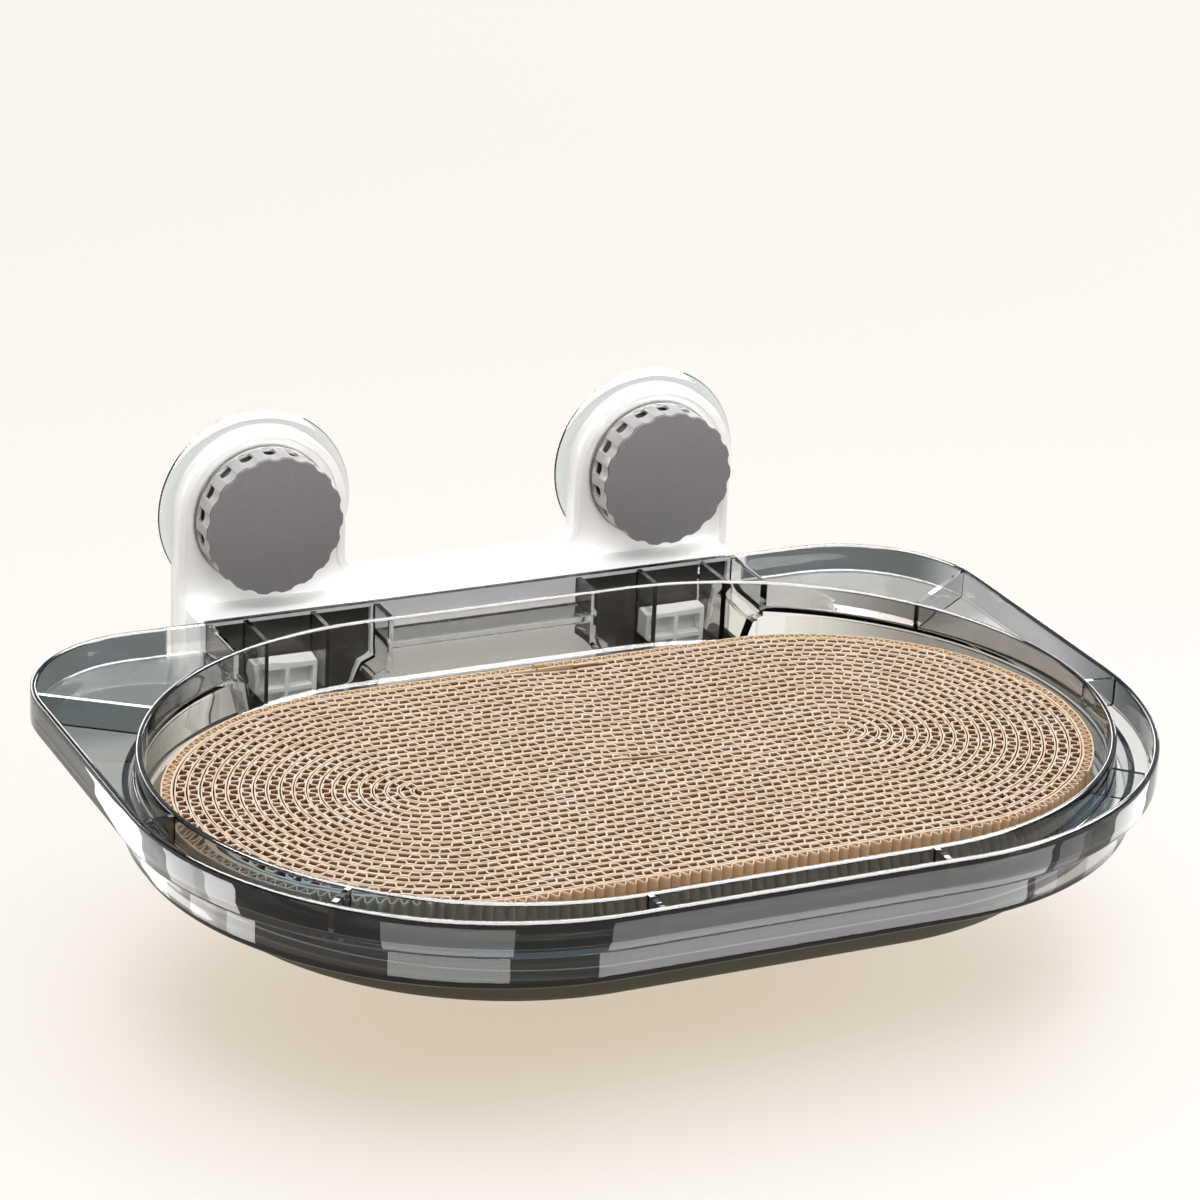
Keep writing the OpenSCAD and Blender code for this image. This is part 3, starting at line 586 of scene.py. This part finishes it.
# Painted light and shade: the tints below darken or pale the plastic region by region.
ear_painted_shade = tint(tree, ease(tree, x, -0.16, -0.14), (0.27, 0.30, 0.30), (0.56, 0.57, 0.57))
channel_floor_light_and_shade = tint(tree, rear, tint(tree, right, (0.46, 0.49, 0.49), (0.96, 0.97, 0.98)), ear_painted_shade)
lower_wall_light_and_shade = tint(tree, forward, (0.92, 0.92, 0.90), (0.44, 0.43, 0.41))
right_skirt_painted_shade = tint(tree, ease(tree, y, -0.080, -0.055), (0.43, 0.45, 0.47), (0.14, 0.16, 0.17))
rear_skirt_painted_shade = tint(tree, right_rear, (0.155, 0.180, 0.190), right_skirt_painted_shade)
skirt_painted_shade = tint(tree, forward, rear_skirt_painted_shade, (0.065, 0.064, 0.055))
rear_bowl_light_and_shade = tint(tree, sideways, (0.95, 0.945, 0.92), (0.36, 0.345, 0.315))
bowl_wall_light_and_shade = tint(tree, forward, rear_bowl_light_and_shade, (0.32, 0.47, 0.64))
side_rib_light_and_shade = tint(tree, right, (0.45, 0.48, 0.49), (0.78, 0.80, 0.80))
rib_light_and_shade = tint(tree, at_ribs, (0.80, 0.82, 0.82), side_rib_light_and_shade)
rear_wall_painted_light = tint(tree, ease(tree, z, -0.0095, -0.0075), (0.98, 0.975, 0.96), (0.77, 0.775, 0.775))
outside_bowl = calc(tree, "GREATER_THAN", bowl_reach, 0.1503)
lip_painted_shade = calc(tree, "MULTIPLY", calc(tree, "COMPARE", z, -0.03255, 0.00135), outside_bowl)
colour = tint(tree, calc(tree, "LESS_THAN", z, -0.0129), rib_light_and_shade, channel_floor_light_and_shade)
colour = tint(tree, above, lower_wall_light_and_shade, colour)
# Painted shade: the bowl's underside and foot ring are dark olive, and a black line runs along the lower
# wall's foot.
colour = tint(tree, calc(tree, "LESS_THAN", z, -0.0335), colour, (0.065, 0.062, 0.036))
colour = tint(tree, lip_painted_shade, colour, (0.01, 0.01, 0.01))
colour = tint(tree, in_outer, colour, skirt_painted_shade)
colour = tint(tree, in_bowl_wall, colour, bowl_wall_light_and_shade)
# Painted shade: dark lines along the rolled rims.
colour = tint(tree, rim_painted_shade, colour, (0.05, 0.055, 0.06))
# Painted light: the wall in front of the bracket is nearly clear below and greyer above.
colour = tint(tree, in_rear_wall, colour, rear_wall_painted_light)
mottle = placed(tree, ripple, Place=where, Scale=14.0, Detail=2.0, Strength=0.02, Distance=0.002)
shell = add(tree, "ShaderNodeBsdfPrincipled", Base_Color=colour, Roughness=0.012, IOR=1.35,
            Specular_IOR_Level=0.9, Transmission_Weight=1.0, Normal=mottle.outputs["Normal"])


def clear_finish(tree, out, shell, shade, depth, density):
    """Finishes a clear material: its shadow rays pass with a shade, and its depth takes a colour."""
    path = add(tree, "ShaderNodeLightPath")
    through = add(tree, "ShaderNodeBsdfTransparent", Color=(*shade, 1.0))
    body = choose(tree, path.outputs["Is Shadow Ray"], shell.outputs[0], through.outputs[0])
    tree.links.new(body, out.inputs["Surface"])
    inside = add(tree, "ShaderNodeVolumeAbsorption", Color=(*depth, 1.0), Density=density)
    tree.links.new(inside.outputs[0], out.inputs["Volume"])


clear_finish(tree, out, shell, shade=(0.92, 0.92, 0.92), depth=(0.42, 0.44, 0.45), density=14.0)
dress(tray, smoke)
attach(tray, "tray")
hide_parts("tray")


# Scratching pad
# One strip of corrugated board, flutes between two plain kraft liners, wound nineteen times round and
# sawn off level on top. A last ply goes round it with its flutes outside, left bare along the front.
pad_x, pad_y = 98.0, -206.3
pad_low, pad_top = -30.7, -13.0
strip_pitch, turns = 5.5, 19
strip_end = 17.0
rng = np.random.default_rng(7)


def bent_run(cx, r, a0, a1):
    """Half a turn about (cx, pad_y), with the angle of the way inwards at each of its points."""
    a = np.radians(np.linspace(a0, a1, max(9, int(math.pi * r / 0.6))))
    return np.column_stack([cx + r * np.cos(a), pad_y + r * np.sin(a), a + np.pi])


def straight_run(x0, x1, y0, y1, inward):
    """A straight side that steps from y0 to y1 over its middle 50 millimetres, eased at both ends."""
    x = np.linspace(x0, x1, 200)
    t = np.clip(0.5 + x / 50 * np.sign(x1 - x0), 0, 1)
    return np.column_stack([x, y0 + (y1 - y0) * t * t * (3 - 2 * t), np.full(200, inward)])[1:-1]


def wound_line():
    """The strip's middle line, counter-clockwise, with the angle of its inward side.

    Turn k has the radius pitch * (k + 1/2) at both ends, and steps out by the pitch on its rear side."""
    middle = strip_pitch / 2
    runs = [straight_run(-2, -pad_x, pad_y + middle, pad_y + middle, -np.pi / 2),
            bent_run(-pad_x, middle, 90, 270) + (0, 0, -2 * np.pi),
            straight_run(-pad_x, pad_x, pad_y - middle, pad_y - middle, np.pi / 2)]
    for k in range(turns):
        r, after, wound = strip_pitch * (k + 0.5), strip_pitch * (k + 1.5), 2 * np.pi * k
        runs.append(bent_run(pad_x, r, -90, 90) + (0, 0, wound))
        if k == turns - 1:
            runs.append(straight_run(pad_x, strip_end, pad_y + r, pad_y + r, 1.5 * np.pi + wound))
            break
        runs.append(straight_run(pad_x, -pad_x, pad_y + r, pad_y + after, 1.5 * np.pi + wound))
        runs.append(bent_run(-pad_x, after, 90, 270) + (0, 0, wound))
        runs.append(straight_run(-pad_x, pad_x, pad_y - after, pad_y - after, 2.5 * np.pi + wound))
    return np.concatenate(runs)


def outer_line(r):
    """Once round the pad at radius r about its middle line, starting in the middle of the rear side."""
    return np.concatenate([
        straight_run(0, -pad_x, pad_y + r, pad_y + r, -np.pi / 2),
        bent_run(-pad_x, r, 90, 270) + (0, 0, -2 * np.pi),
        straight_run(-pad_x, pad_x, pad_y - r, pad_y - r, np.pi / 2),
        bent_run(pad_x, r, -90, 90),
        straight_run(pad_x, 0, pad_y + r, pad_y + r, 1.5 * np.pi)])


def lengths(line):
    """Length along a line up to each of its points."""
    return np.concatenate([[0], np.cumsum(np.linalg.norm(np.diff(line[:, :2], axis=0), axis=1))])


def drift(at, spacing, size):
    """Slow unevenness at lengths along a strip: random values at a spacing, eased between, within a size."""
    count = int(at.max() / spacing) + 3
    return np.interp(at, np.arange(count) * spacing, rng.uniform(-size, size, count))


def sheet_rings(line, at, inward, half, top):
    """Upright sheet of board: four corners at each length along a line, moved inwards by an offset.

    The sheet's own way is the slope of its offset path; its faces stand half a thickness to either side."""
    along = lengths(line)
    x, y, a = (np.interp(at, along, line[:, i]) for i in range(3))
    path = np.column_stack([x + inward * np.cos(a), y + inward * np.sin(a)])
    slope = np.gradient(path, axis=0)
    slope /= np.linalg.norm(slope, axis=1)[:, None]
    cross = np.column_stack([-slope[:, 1], slope[:, 0]]) * half
    low = np.full(len(at), pad_low)
    return np.stack([np.column_stack([path + cross, low]), np.column_stack([path - cross, low]),
                     np.column_stack([path - cross, top]), np.column_stack([path + cross, top])], 1)


def liner(line, inward, half):
    """The plain liner along a line, its points closer together where the line bends more."""
    pace = lengths(line) / 5.0 + np.abs(line[:, 2] - line[0, 2]) / 0.16
    at = np.interp(np.linspace(0, pace[-1], int(pace[-1])), pace, lengths(line))
    return sheet_rings(line, at, inward + drift(at, 8.0, 0.15), half, pad_top - 0.12 + drift(at, 5.0, 0.15))


def flutes(line, wave, middle, swing, square, half, turn):
    """The fluted sheet along a line: slightly uneven waves to and fro about a middle.

    The swing is the squared-off sine tanh(square * sin) / tanh(square), at the degrees that turn lists."""
    count = int(lengths(line)[-1] / wave) - 1
    phase = (np.arange(count)[:, None] * 360.0 + turn).ravel()
    at = wave * (phase / 360 + 0.4)
    at += drift(at, 9.0, 0.15 * wave)
    wavy = np.tanh(square * np.sin(np.radians(phase))) / math.tanh(square)
    inward = middle + swing * wavy * (1 + drift(at, 4.0, 0.12)) + drift(at, 5.0, 0.17)
    return sheet_rings(line, at, inward, half, pad_top - 0.20 + drift(at, 1.9, 0.22))


def sheets(name, parts):
    """One mesh of several upright sheets, each closed at both ends."""
    verts, faces, base = [], [], 0
    for ring in parts:
        n = len(ring)
        i, j = np.meshgrid(np.arange(n - 1), np.arange(4), indexing="ij")
        a, b = base + 4 * i + j, base + 4 * i + (j + 1) % 4
        faces.append(np.stack([a, b, b + 4, a + 4], -1).reshape(-1, 4))
        faces.append(base + np.array([[0, 3, 2, 1], [4 * n - 4, 4 * n - 3, 4 * n - 2, 4 * n - 1]]))
        verts.append(ring.reshape(-1, 3))
        base += 4 * n
    mesh = bpy.data.meshes.new(name)
    mesh.from_pydata((np.concatenate(verts) * MM).tolist(), [], np.concatenate(faces).tolist())
    ob = bpy.data.objects.new(name, mesh)
    scene.collection.objects.link(ob)
    return ob


winding = wound_line()
square_turn, round_turn = (8, 24, 156, 172, 188, 204, 336, 352), (0, 45, 90, 135, 180, 225, 270, 315)
strip = sheets("wound_board", [
    flutes(winding, wave=8.6, middle=-0.10, swing=1.58, square=5.0, half=0.36, turn=square_turn),
    liner(winding, inward=2.12, half=0.31),
    liner(winding, inward=-2.27, half=0.28)])
ply_r, closing_r = 107.55, 109.6
ply = outer_line(ply_r)
closed = outer_line(closing_r)
front = np.flatnonzero(closed[:, 1] < pad_y - 75)
closing = [closed[:front[0]], closed[front[-1] + 1:]]
outer_ply = sheets("outer_ply", [
    flutes(ply, wave=4.8, middle=0.0, swing=1.6, square=0.7, half=0.26, turn=round_turn),
    liner(ply, inward=2.2, half=0.5),
    *(liner(part, inward=0.0, half=0.34) for part in closing)])
for ob in (strip, outer_ply):
    outward(ob)
    smooth(ob, 40)


# Fibres and blotches over a colour, and the fuzz that the fibres raise.
pulp, given, shown = effect("kraft_pulp", dict(Place="Vector", Colour="Color"),
                            dict(Colour="Color", Normal="Vector"))
fibre = add(pulp, "ShaderNodeTexNoise", Vector=given["Place"], Scale=900.0, Detail=3.0)
blotch = add(pulp, "ShaderNodeTexNoise", Vector=given["Place"], Scale=38.0, Detail=3.0)
colour = given["Colour"]
layers = (("MULTIPLY", 0.12, fibre.outputs["Color"]), ("OVERLAY", 0.18, blotch.outputs["Fac"]))
for kind, amount, noise in layers:
    blend = add(pulp, "ShaderNodeMix", Factor=amount)
    blend.data_type, blend.blend_type = "RGBA", kind
    pulp.links.new(colour, blend.inputs[6])
    pulp.links.new(noise, blend.inputs[7])
    colour = blend.outputs[2]
fuzz = add(pulp, "ShaderNodeBump", Strength=0.25, Distance=0.0004, Height=fibre.outputs["Fac"])
pulp.links.new(colour, shown["Colour"])
pulp.links.new(fuzz.outputs[0], shown["Normal"])


def kraft(name, stops):
    """Kraft board with fibres and blotches, darker lower down as its stops give;
    on the wound board that darkening is painted shade down the open flutes.

    The stops are heights in millimetres with the colour at each."""
    mat, tree, out = nodes_of(name)
    where = add(tree, "ShaderNodeTexCoord").outputs["Object"]
    height = add(tree, "ShaderNodeSeparateXYZ", Vector=where).outputs["Z"]
    low, high = stops[0][0], stops[-1][0]
    rise = add(tree, "ShaderNodeMapRange", Value=height)
    rise.inputs["From Min"].default_value, rise.inputs["From Max"].default_value = low * MM, high * MM
    ramp = add(tree, "ShaderNodeValToRGB", Fac=rise.outputs[0])
    for z, colour in stops[1:-1]:
        ramp.color_ramp.elements.new((z - low) / (high - low)).color = (*colour, 1.0)
    ramp.color_ramp.elements[0].color = (*stops[0][1], 1.0)
    ramp.color_ramp.elements[-1].color = (*stops[-1][1], 1.0)
    fibres = placed(tree, pulp, Place=where, Colour=ramp.outputs[0])
    paper = add(tree, "ShaderNodeBsdfPrincipled", Base_Color=fibres.outputs["Colour"], Roughness=0.92,
                Specular_IOR_Level=0.0, Normal=fibres.outputs["Normal"])
    tree.links.new(paper.outputs[0], out.inputs["Surface"])
    return mat


# Painted shade: the wound board darkens from its sawn top to nearly black deep down the flutes.
board = kraft("corrugated_board", [
    (-18.0, (0.09, 0.038, 0.016)), (-15.0, (0.21, 0.095, 0.043)), (-13.9, (0.34, 0.170, 0.085)),
    (-13.4, (0.72, 0.54, 0.39)), (-13.0, (0.85, 0.74, 0.61))])
band = kraft("kraft_band", [
    (-30.0, (0.50, 0.31, 0.17)), (-14.4, (0.62, 0.41, 0.24)), (-13.0, (0.85, 0.65, 0.46))])
for ob, mat, node, slot in ((strip, board, "scratcher_strip", "corrugated_board"),
                            (outer_ply, band, "scratcher_band", "kraft_band")):
    dress(ob, mat)
    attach(ob, "scratcher")
    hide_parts(node)


# Bracket cover
# A glossy white moulding: an upper plate with two round lobes and a raised border, and a deeper
# lower body with a funnel window on each side, hollow behind, with soft outer edges.
lobe_r, hollow_r, hollow_x, hollow_z = 40.5, 9.0, 48.1, 17.0
foot_r, foot_z = 9.0, -56.0
plate_foot_x, body_foot_x, body_half_w, body_top = 129.1, 125.3, 134.3, -0.5
body_edge_r, cover_wall = 1.0, 2.5
plate_rim, plate_face, plate_border, body_front = 12.0, 10.5, 4.0, 30.0
stud_hole_r, post_r = 5.2, 4
screw_x, screw_heights = 41.2, (-11, -52)


def ring_arc(cx, cz, r, a0, a1, n):
    """Points on an arc about (cx, cz) from angle a0 to a1 in degrees, both ends kept."""
    return np.array(bend(a0, a1, n)) * r + (cx, cz)


def plate_outline(inset):
    """Outline of the bracket drawn in by an inset, counter-clockwise from the lower left corner.

    Lobes shrink by the inset and the hollow corners between bar and lobes grow by it."""
    return np.concatenate([
        ring_arc(-plate_foot_x, foot_z, foot_r - inset, 180, 270, 12),
        ring_arc(plate_foot_x, foot_z, foot_r - inset, 270, 360, 12),
        ring_arc(cup_x, cup_z, lobe_r - inset, 0, 180, 40),
        ring_arc(hollow_x, hollow_z, hollow_r + inset, 0, -90, 14),
        ring_arc(-hollow_x, hollow_z, hollow_r + inset, -90, -180, 14),
        ring_arc(-cup_x, cup_z, lobe_r - inset, 0, 180, 40)])


def body_outline(inset):
    """Outline of the lower body drawn in by an inset: square above, round below."""
    edge_x, edge_z = body_half_w - body_edge_r - inset, body_top - body_edge_r - inset
    return np.concatenate([
        ring_arc(-body_foot_x, foot_z, foot_r - inset, 180, 270, 12),
        ring_arc(body_foot_x, foot_z, foot_r - inset, 270, 360, 12),
        ring_arc(edge_x, edge_z, body_edge_r, 0, 90, 5),
        ring_arc(-edge_x, edge_z, body_edge_r, 90, 180, 5)])


def standing(outline, d):
    """An x, z outline stood up at a distance d off the mounting plane."""
    return np.column_stack([outline[:, 0], np.full(len(outline), -float(d)), outline[:, 1]])


plate_rings = [standing(plate_outline(inset), d) for inset, d in ((0.5, 2.9), (0.15, 3.05), (0, 3.4))]
plate_rings += [standing(plate_outline(0.7 - 0.7 * c), plate_rim - 0.7 + 0.7 * s) for c, s in bend(0, 90, 7)]
plate_rings += [standing(plate_outline(plate_border - 0.4 + 0.4 * s), plate_rim - 0.4 + 0.4 * c)
                for c, s in bend(0, 90, 4)]
plate_rings += [standing(plate_outline(plate_border + 0.2 - 0.2 * c + 0.3 * s), plate_face + 0.3 - 0.3 * s)
                for c, s in bend(0, 90, 3)]
cover = skin("bracket_moulding", plate_rings)
body_rings = [standing(body_outline(0), 2.95)]
body_rings += [standing(body_outline(1 - c), body_front - 1 + s) for c, s in bend(0, 90, 7)]
carve(cover, [skin("body", body_rings)], "UNION")
hollows = [prism("hollow", plate_outline(cover_wall), 1, plate_face - cover_wall, "y"),
           prism("hollow", body_outline(cover_wall), 0.5, body_front - cover_wall, "y")]
windows = [prism("window", funnel(side, 0, 3, 60), 26, 32, "y") for side in (-1, 1)]
holes = [prism("hole", ring_arc(side * cup_x, cup_z, stud_hole_r, 0, 354, 60), 2, 14, "y")
         for side in (-1, 1)]
carve(cover, hollows, "DIFFERENCE")
carve(cover, windows + holes, "DIFFERENCE")
posts = [prism("post", ring_arc(x, z, post_r, 0, 345, 24), 8.3, 27.6, "y")
         for x in (-screw_x, screw_x) for z in screw_heights]
carve(cover, posts, "UNION")
smooth(cover, 32)


def spread(tree, value, low, high):
    """A value of 0 to 1 spread between two numbers."""
    n = add(tree, "ShaderNodeMapRange", Value=value)
    n.inputs["To Min"].default_value, n.inputs["To Max"].default_value = low, high
    return n.outputs[0]


white, tree, out = nodes_of("white_plastic")
where = add(tree, "ShaderNodeTexCoord").outputs["Object"]
flow = placed(tree, ripple, Place=where, Scale=22.0, Detail=2.0, Strength=0.04, Distance=0.001)
gloss = add(tree, "ShaderNodeBsdfPrincipled", Base_Color=(0.965, 0.965, 0.96, 1.0),
            Roughness=spread(tree, flow.outputs["Pattern"], 0.16, 0.24), Normal=flow.outputs["Normal"])
tree.links.new(gloss.outputs[0], out.inputs["Surface"])
dress(cover, white)
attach(cover, "bracket")
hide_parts("bracket_cover")


# Core, hooks and screws
# Behind the white cover lies a dark grey core whose boxes carry the two pale hook blocks; zinc
# screws hold them from behind. These keep the shapes of the frame and get their plastics here.

# The grain of a moulding: its gloss varies over a few centimetres, and fine specks raise its surface.
grainy, given, shown = effect("moulded_grain", dict(Place="Vector", Roughness="Float", Grain="Float"),
                              dict(Roughness="Float", Normal="Vector"))
flow = add(grainy, "ShaderNodeTexNoise", Vector=given["Place"], Scale=30.0, Detail=3.0)
speck = add(grainy, "ShaderNodeTexNoise", Vector=given["Place"], Scale=1400.0, Detail=2.0)
bump = add(grainy, "ShaderNodeBump", Strength=given["Grain"], Distance=0.0003, Height=speck.outputs["Fac"])
least, most = (calc(grainy, way, given["Roughness"], 0.06) for way in ("SUBTRACT", "ADD"))
gloss = add(grainy, "ShaderNodeMapRange", Value=flow.outputs["Fac"], To_Min=least, To_Max=most)
grainy.links.new(gloss.outputs[0], shown["Roughness"])
grainy.links.new(bump.outputs[0], shown["Normal"])


def plain_plastic(name, colour, roughness, grain):
    """Moulded plastic whose gloss and surface vary a little over a few centimetres.

    The colour is plain, or a function that works it out from Object coordinates."""
    mat, tree, out = nodes_of(name)
    where = add(tree, "ShaderNodeTexCoord").outputs["Object"]
    finish = placed(tree, grainy, Place=where, Roughness=roughness, Grain=grain)
    body = add(tree, "ShaderNodeBsdfPrincipled", Normal=finish.outputs["Normal"],
               Base_Color=colour(tree, where) if callable(colour) else (*colour, 1.0),
               Roughness=finish.outputs["Roughness"])
    tree.links.new(body.outputs[0], out.inputs["Surface"])
    return mat


def plain_metal(name, colour, pattern, low, high):
    """Bare metal of one colour whose roughness follows a pattern, given as a node kind, scale and output."""
    mat, tree, out = nodes_of(name)
    kind, scale, output = pattern
    where = add(tree, "ShaderNodeTexCoord").outputs["Object"]
    marks = add(tree, kind, Vector=where, Scale=scale)
    metal = add(tree, "ShaderNodeBsdfPrincipled", Base_Color=(*colour, 1.0), Metallic=1.0,
                Roughness=spread(tree, marks.outputs[output], low, high))
    tree.links.new(metal.outputs[0], out.inputs["Surface"])
    return mat


dark = plain_plastic("dark_plastic", (0.045, 0.045, 0.043), roughness=0.42, grain=0.15)
pale = plain_plastic("hook_plastic", (0.80, 0.80, 0.79), roughness=0.35, grain=0.1)
ivory = plain_plastic("washer_plastic", (0.80, 0.79, 0.75), roughness=0.4, grain=0.1)
spangle, turning = ("ShaderNodeTexVoronoi", 500.0, "Distance"), ("ShaderNodeTexNoise", 260.0, "Fac")
zinc = plain_metal("zinc_steel", (0.62, 0.62, 0.61), spangle, low=0.25, high=0.42)
brass = plain_metal("brass", (0.72, 0.53, 0.25), turning, low=0.2, high=0.4)
finishes = {"bracket_core": dark, "hook_left": pale, "hook_right": pale, "bracket_screws": zinc,
            "hook_screws": zinc, "stud_left": zinc, "stud_right": zinc, "knob_nut_left": brass,
            "knob_nut_right": brass, "washer_left": ivory, "washer_right": ivory}
for node, mat in finishes.items():
    dress(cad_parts[node], mat)


# Suction cups
# A soft clear disc behind each lobe: a flat rim to mount by, a thin flexible middle drawn back
# from it, and a thick boss that holds the stud's flange and goes with it when the knob is turned.
clear, tree, out = nodes_of("clear_cup")
where = add(tree, "ShaderNodeTexCoord").outputs["Object"]
swirl = placed(tree, ripple, Place=where, Scale=40.0, Detail=1.0, Strength=0.06, Distance=0.001)
soft = add(tree, "ShaderNodeBsdfPrincipled", Base_Color=(0.86, 0.89, 0.89, 1.0), Roughness=0.05, IOR=1.45,
           Specular_IOR_Level=0.1, Transmission_Weight=1.0, Normal=swirl.outputs["Normal"])
clear_finish(tree, out, soft, shade=(0.80, 0.86, 0.86), depth=(0.46, 0.56, 0.57), density=150.0)


def axis_ring(side, r, a, d):
    """Points at radii r and angles a about a cup's axis, at a distance d off the mounting plane."""
    return np.column_stack([side * cup_x + r * np.cos(a), np.full(len(a), -d), cup_z + r * np.sin(a)])


def turned_rings(side, profile, count=144):
    """Rings of a turned piece on a cup's axis, from (radius, distance off the mounting plane) pairs."""
    a = np.linspace(0, 2 * np.pi, count, endpoint=False)
    return [axis_ring(side, r, a, d) for r, d in profile]


cup_profile = [
    (0.4, 3.4), (13, 3.4), (16, 3.1), (34, 0.3), (36, 0.02), (44.5, 0.02), (45.6, 0.2), (46, 0.6),
    (45.7, 1.0), (44, 1.5), (41.75, 2.55), (38, 2.58), (36, 2.6), (15.5, 5.1), (13.6, 5.5), (13, 6.2),
    (12.9, 6.9), (12.4, 7.25), (5.0, 7.3), (4.6, 7.1), (4.6, 6.5), (9.06, 6.46), (9.06, 4.54), (0.4, 4.54)]
for side, word in ((-1, "left"), (1, "right")):
    cup = skin("suction_cup_" + word, turned_rings(side, cup_profile))
    outward(cup)
    smooth(cup, 38)
    dress(cup, clear)
    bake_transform(cup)
    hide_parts("cup_" + word)


# Knobs
# A grey moulded hand wheel with eighteen shallow finger flutes, a small blind slot at the foot of
# each, a plain ring at its back, and a flat fine-textured cap on its face.
knob_r, flute_count, flute_d, cutter_r = 32.5, 18, 1.15, 6.0
outline_points = 576
slot_half_w, slot_floor, slot_mouth = 2.9, 29.3, 34.0


def fluted_ring(side, crest, d, share=1.0):
    """Ring of the wheel's outline: flutes cut into the crest radius, to a share of their depth.

    In each flute the radius is the near side of the cutting circle, eased into the crest at its lips."""
    a = np.linspace(0, 2 * np.pi, outline_points, endpoint=False)
    off = (np.mod(a / (2 * np.pi) * flute_count, 1.0) - 0.5) * 2 * np.pi / flute_count
    centre = knob_r - flute_d + cutter_r
    inside = np.sqrt(np.maximum(cutter_r ** 2 - (centre * np.sin(off)) ** 2, 0.0))
    gap = knob_r - (centre * np.cos(off) - np.where(inside > 0, inside, -9.0))
    depth = np.maximum(gap, 0) * share
    depth = 0.5 * (depth + np.sqrt(depth ** 2 + 0.01)) - 0.05
    return axis_ring(side, crest - depth, a, d)


def wheel_colour_and_slot_shade(tree, where):
    """The wheel's grey, darker on the ring behind the flutes, with painted shade nearly black inside the
    slots.
    """
    x, y, z = add(tree, "ShaderNodeSeparateXYZ", Vector=where).outputs
    aside = calc(tree, "SUBTRACT", calc(tree, "ABSOLUTE", x), MM * cup_x)
    axis_reach = hypot(tree, aside, calc(tree, "SUBTRACT", z, MM * cup_z))
    colour = tint(tree, calc(tree, "GREATER_THAN", y, -0.0136), (0.36, 0.355, 0.355), (0.10, 0.10, 0.10))
    # Painted shade: nearly black inside the slots.
    return tint(tree, calc(tree, "LESS_THAN", axis_reach, 0.0309), colour, (0.015, 0.015, 0.015))


wheel = plain_plastic("knob_plastic", wheel_colour_and_slot_shade, roughness=0.22, grain=0.05)
face, tree, out = nodes_of("knob_face_plastic")
where = add(tree, "ShaderNodeTexCoord").outputs["Object"]
depth = add(tree, "ShaderNodeSeparateXYZ", Vector=where).outputs["Y"]
spark = placed(tree, ripple, Place=where, Scale=1500.0, Detail=2.0, Strength=0.35, Distance=0.0003)
tone = tint(tree, spark.outputs["Pattern"], (0.134, 0.132, 0.133), (0.205, 0.203, 0.204))
colour = tint(tree, calc(tree, "GREATER_THAN", depth, -0.0279), tone, (0.045, 0.045, 0.046))
matt = add(tree, "ShaderNodeBsdfPrincipled", Base_Color=colour, Roughness=0.62,
           Specular_IOR_Level=0.12, Normal=spark.outputs["Normal"])
tree.links.new(matt.outputs[0], out.inputs["Surface"])

ring_profile = [(20, 11.3), (32.4, 11.3), (32.9, 11.5), (33, 11.9), (33, 12.9), (32.8, 13.3)]
slot_corners = ((slot_floor, -slot_half_w), (slot_mouth, -slot_half_w), (slot_mouth, slot_half_w),
                (slot_floor, slot_half_w))
for side, word in ((-1, "left"), (1, "right")):
    rings = turned_rings(side, ring_profile, outline_points)
    rings += [fluted_ring(side, knob_r, d, share) for d, share in ((13.4, 0.0), (13.7, 0.0), (13.8, 1.0))]
    rings += [fluted_ring(side, knob_r, d) for d in (16, 19, 22, 25, 26.9)]
    knob = skin("hand_wheel_" + word, rings)
    boxes = []
    for k in range(flute_count):
        a = (k + 0.5) * 2 * math.pi / flute_count
        way, cross = np.array([math.cos(a), math.sin(a)]), np.array([-math.sin(a), math.cos(a)])
        plan = [np.array([side * cup_x, cup_z]) + t * way + w * cross for t, w in slot_corners]
        boxes.append(prism("slot", plan, 14.6, 20.0, "y"))
    carve(knob, boxes, "DIFFERENCE")
    smooth(knob, 30)
    dress(knob, wheel)
    cap_rings = [fluted_ring(side, r, d) for r, d in ((32.3, 27.0), (knob_r, 27.15), (knob_r, 27.6))]
    cap_rings += [fluted_ring(side, knob_r - 0.6 + 0.6 * c, 27.6 + 0.6 * s) for c, s in bend(0, 90, 5)]
    cap = skin("wheel_cap_" + word, cap_rings)
    outward(cap)
    smooth(cap, 30)
    dress(cap, face)
    for ob, node, slot in ((knob, "knob_", "knob_plastic"), (cap, "knob_cap_", "knob_face_plastic")):
        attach(ob, "knob_" + word + "_body")
        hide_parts(node + word)
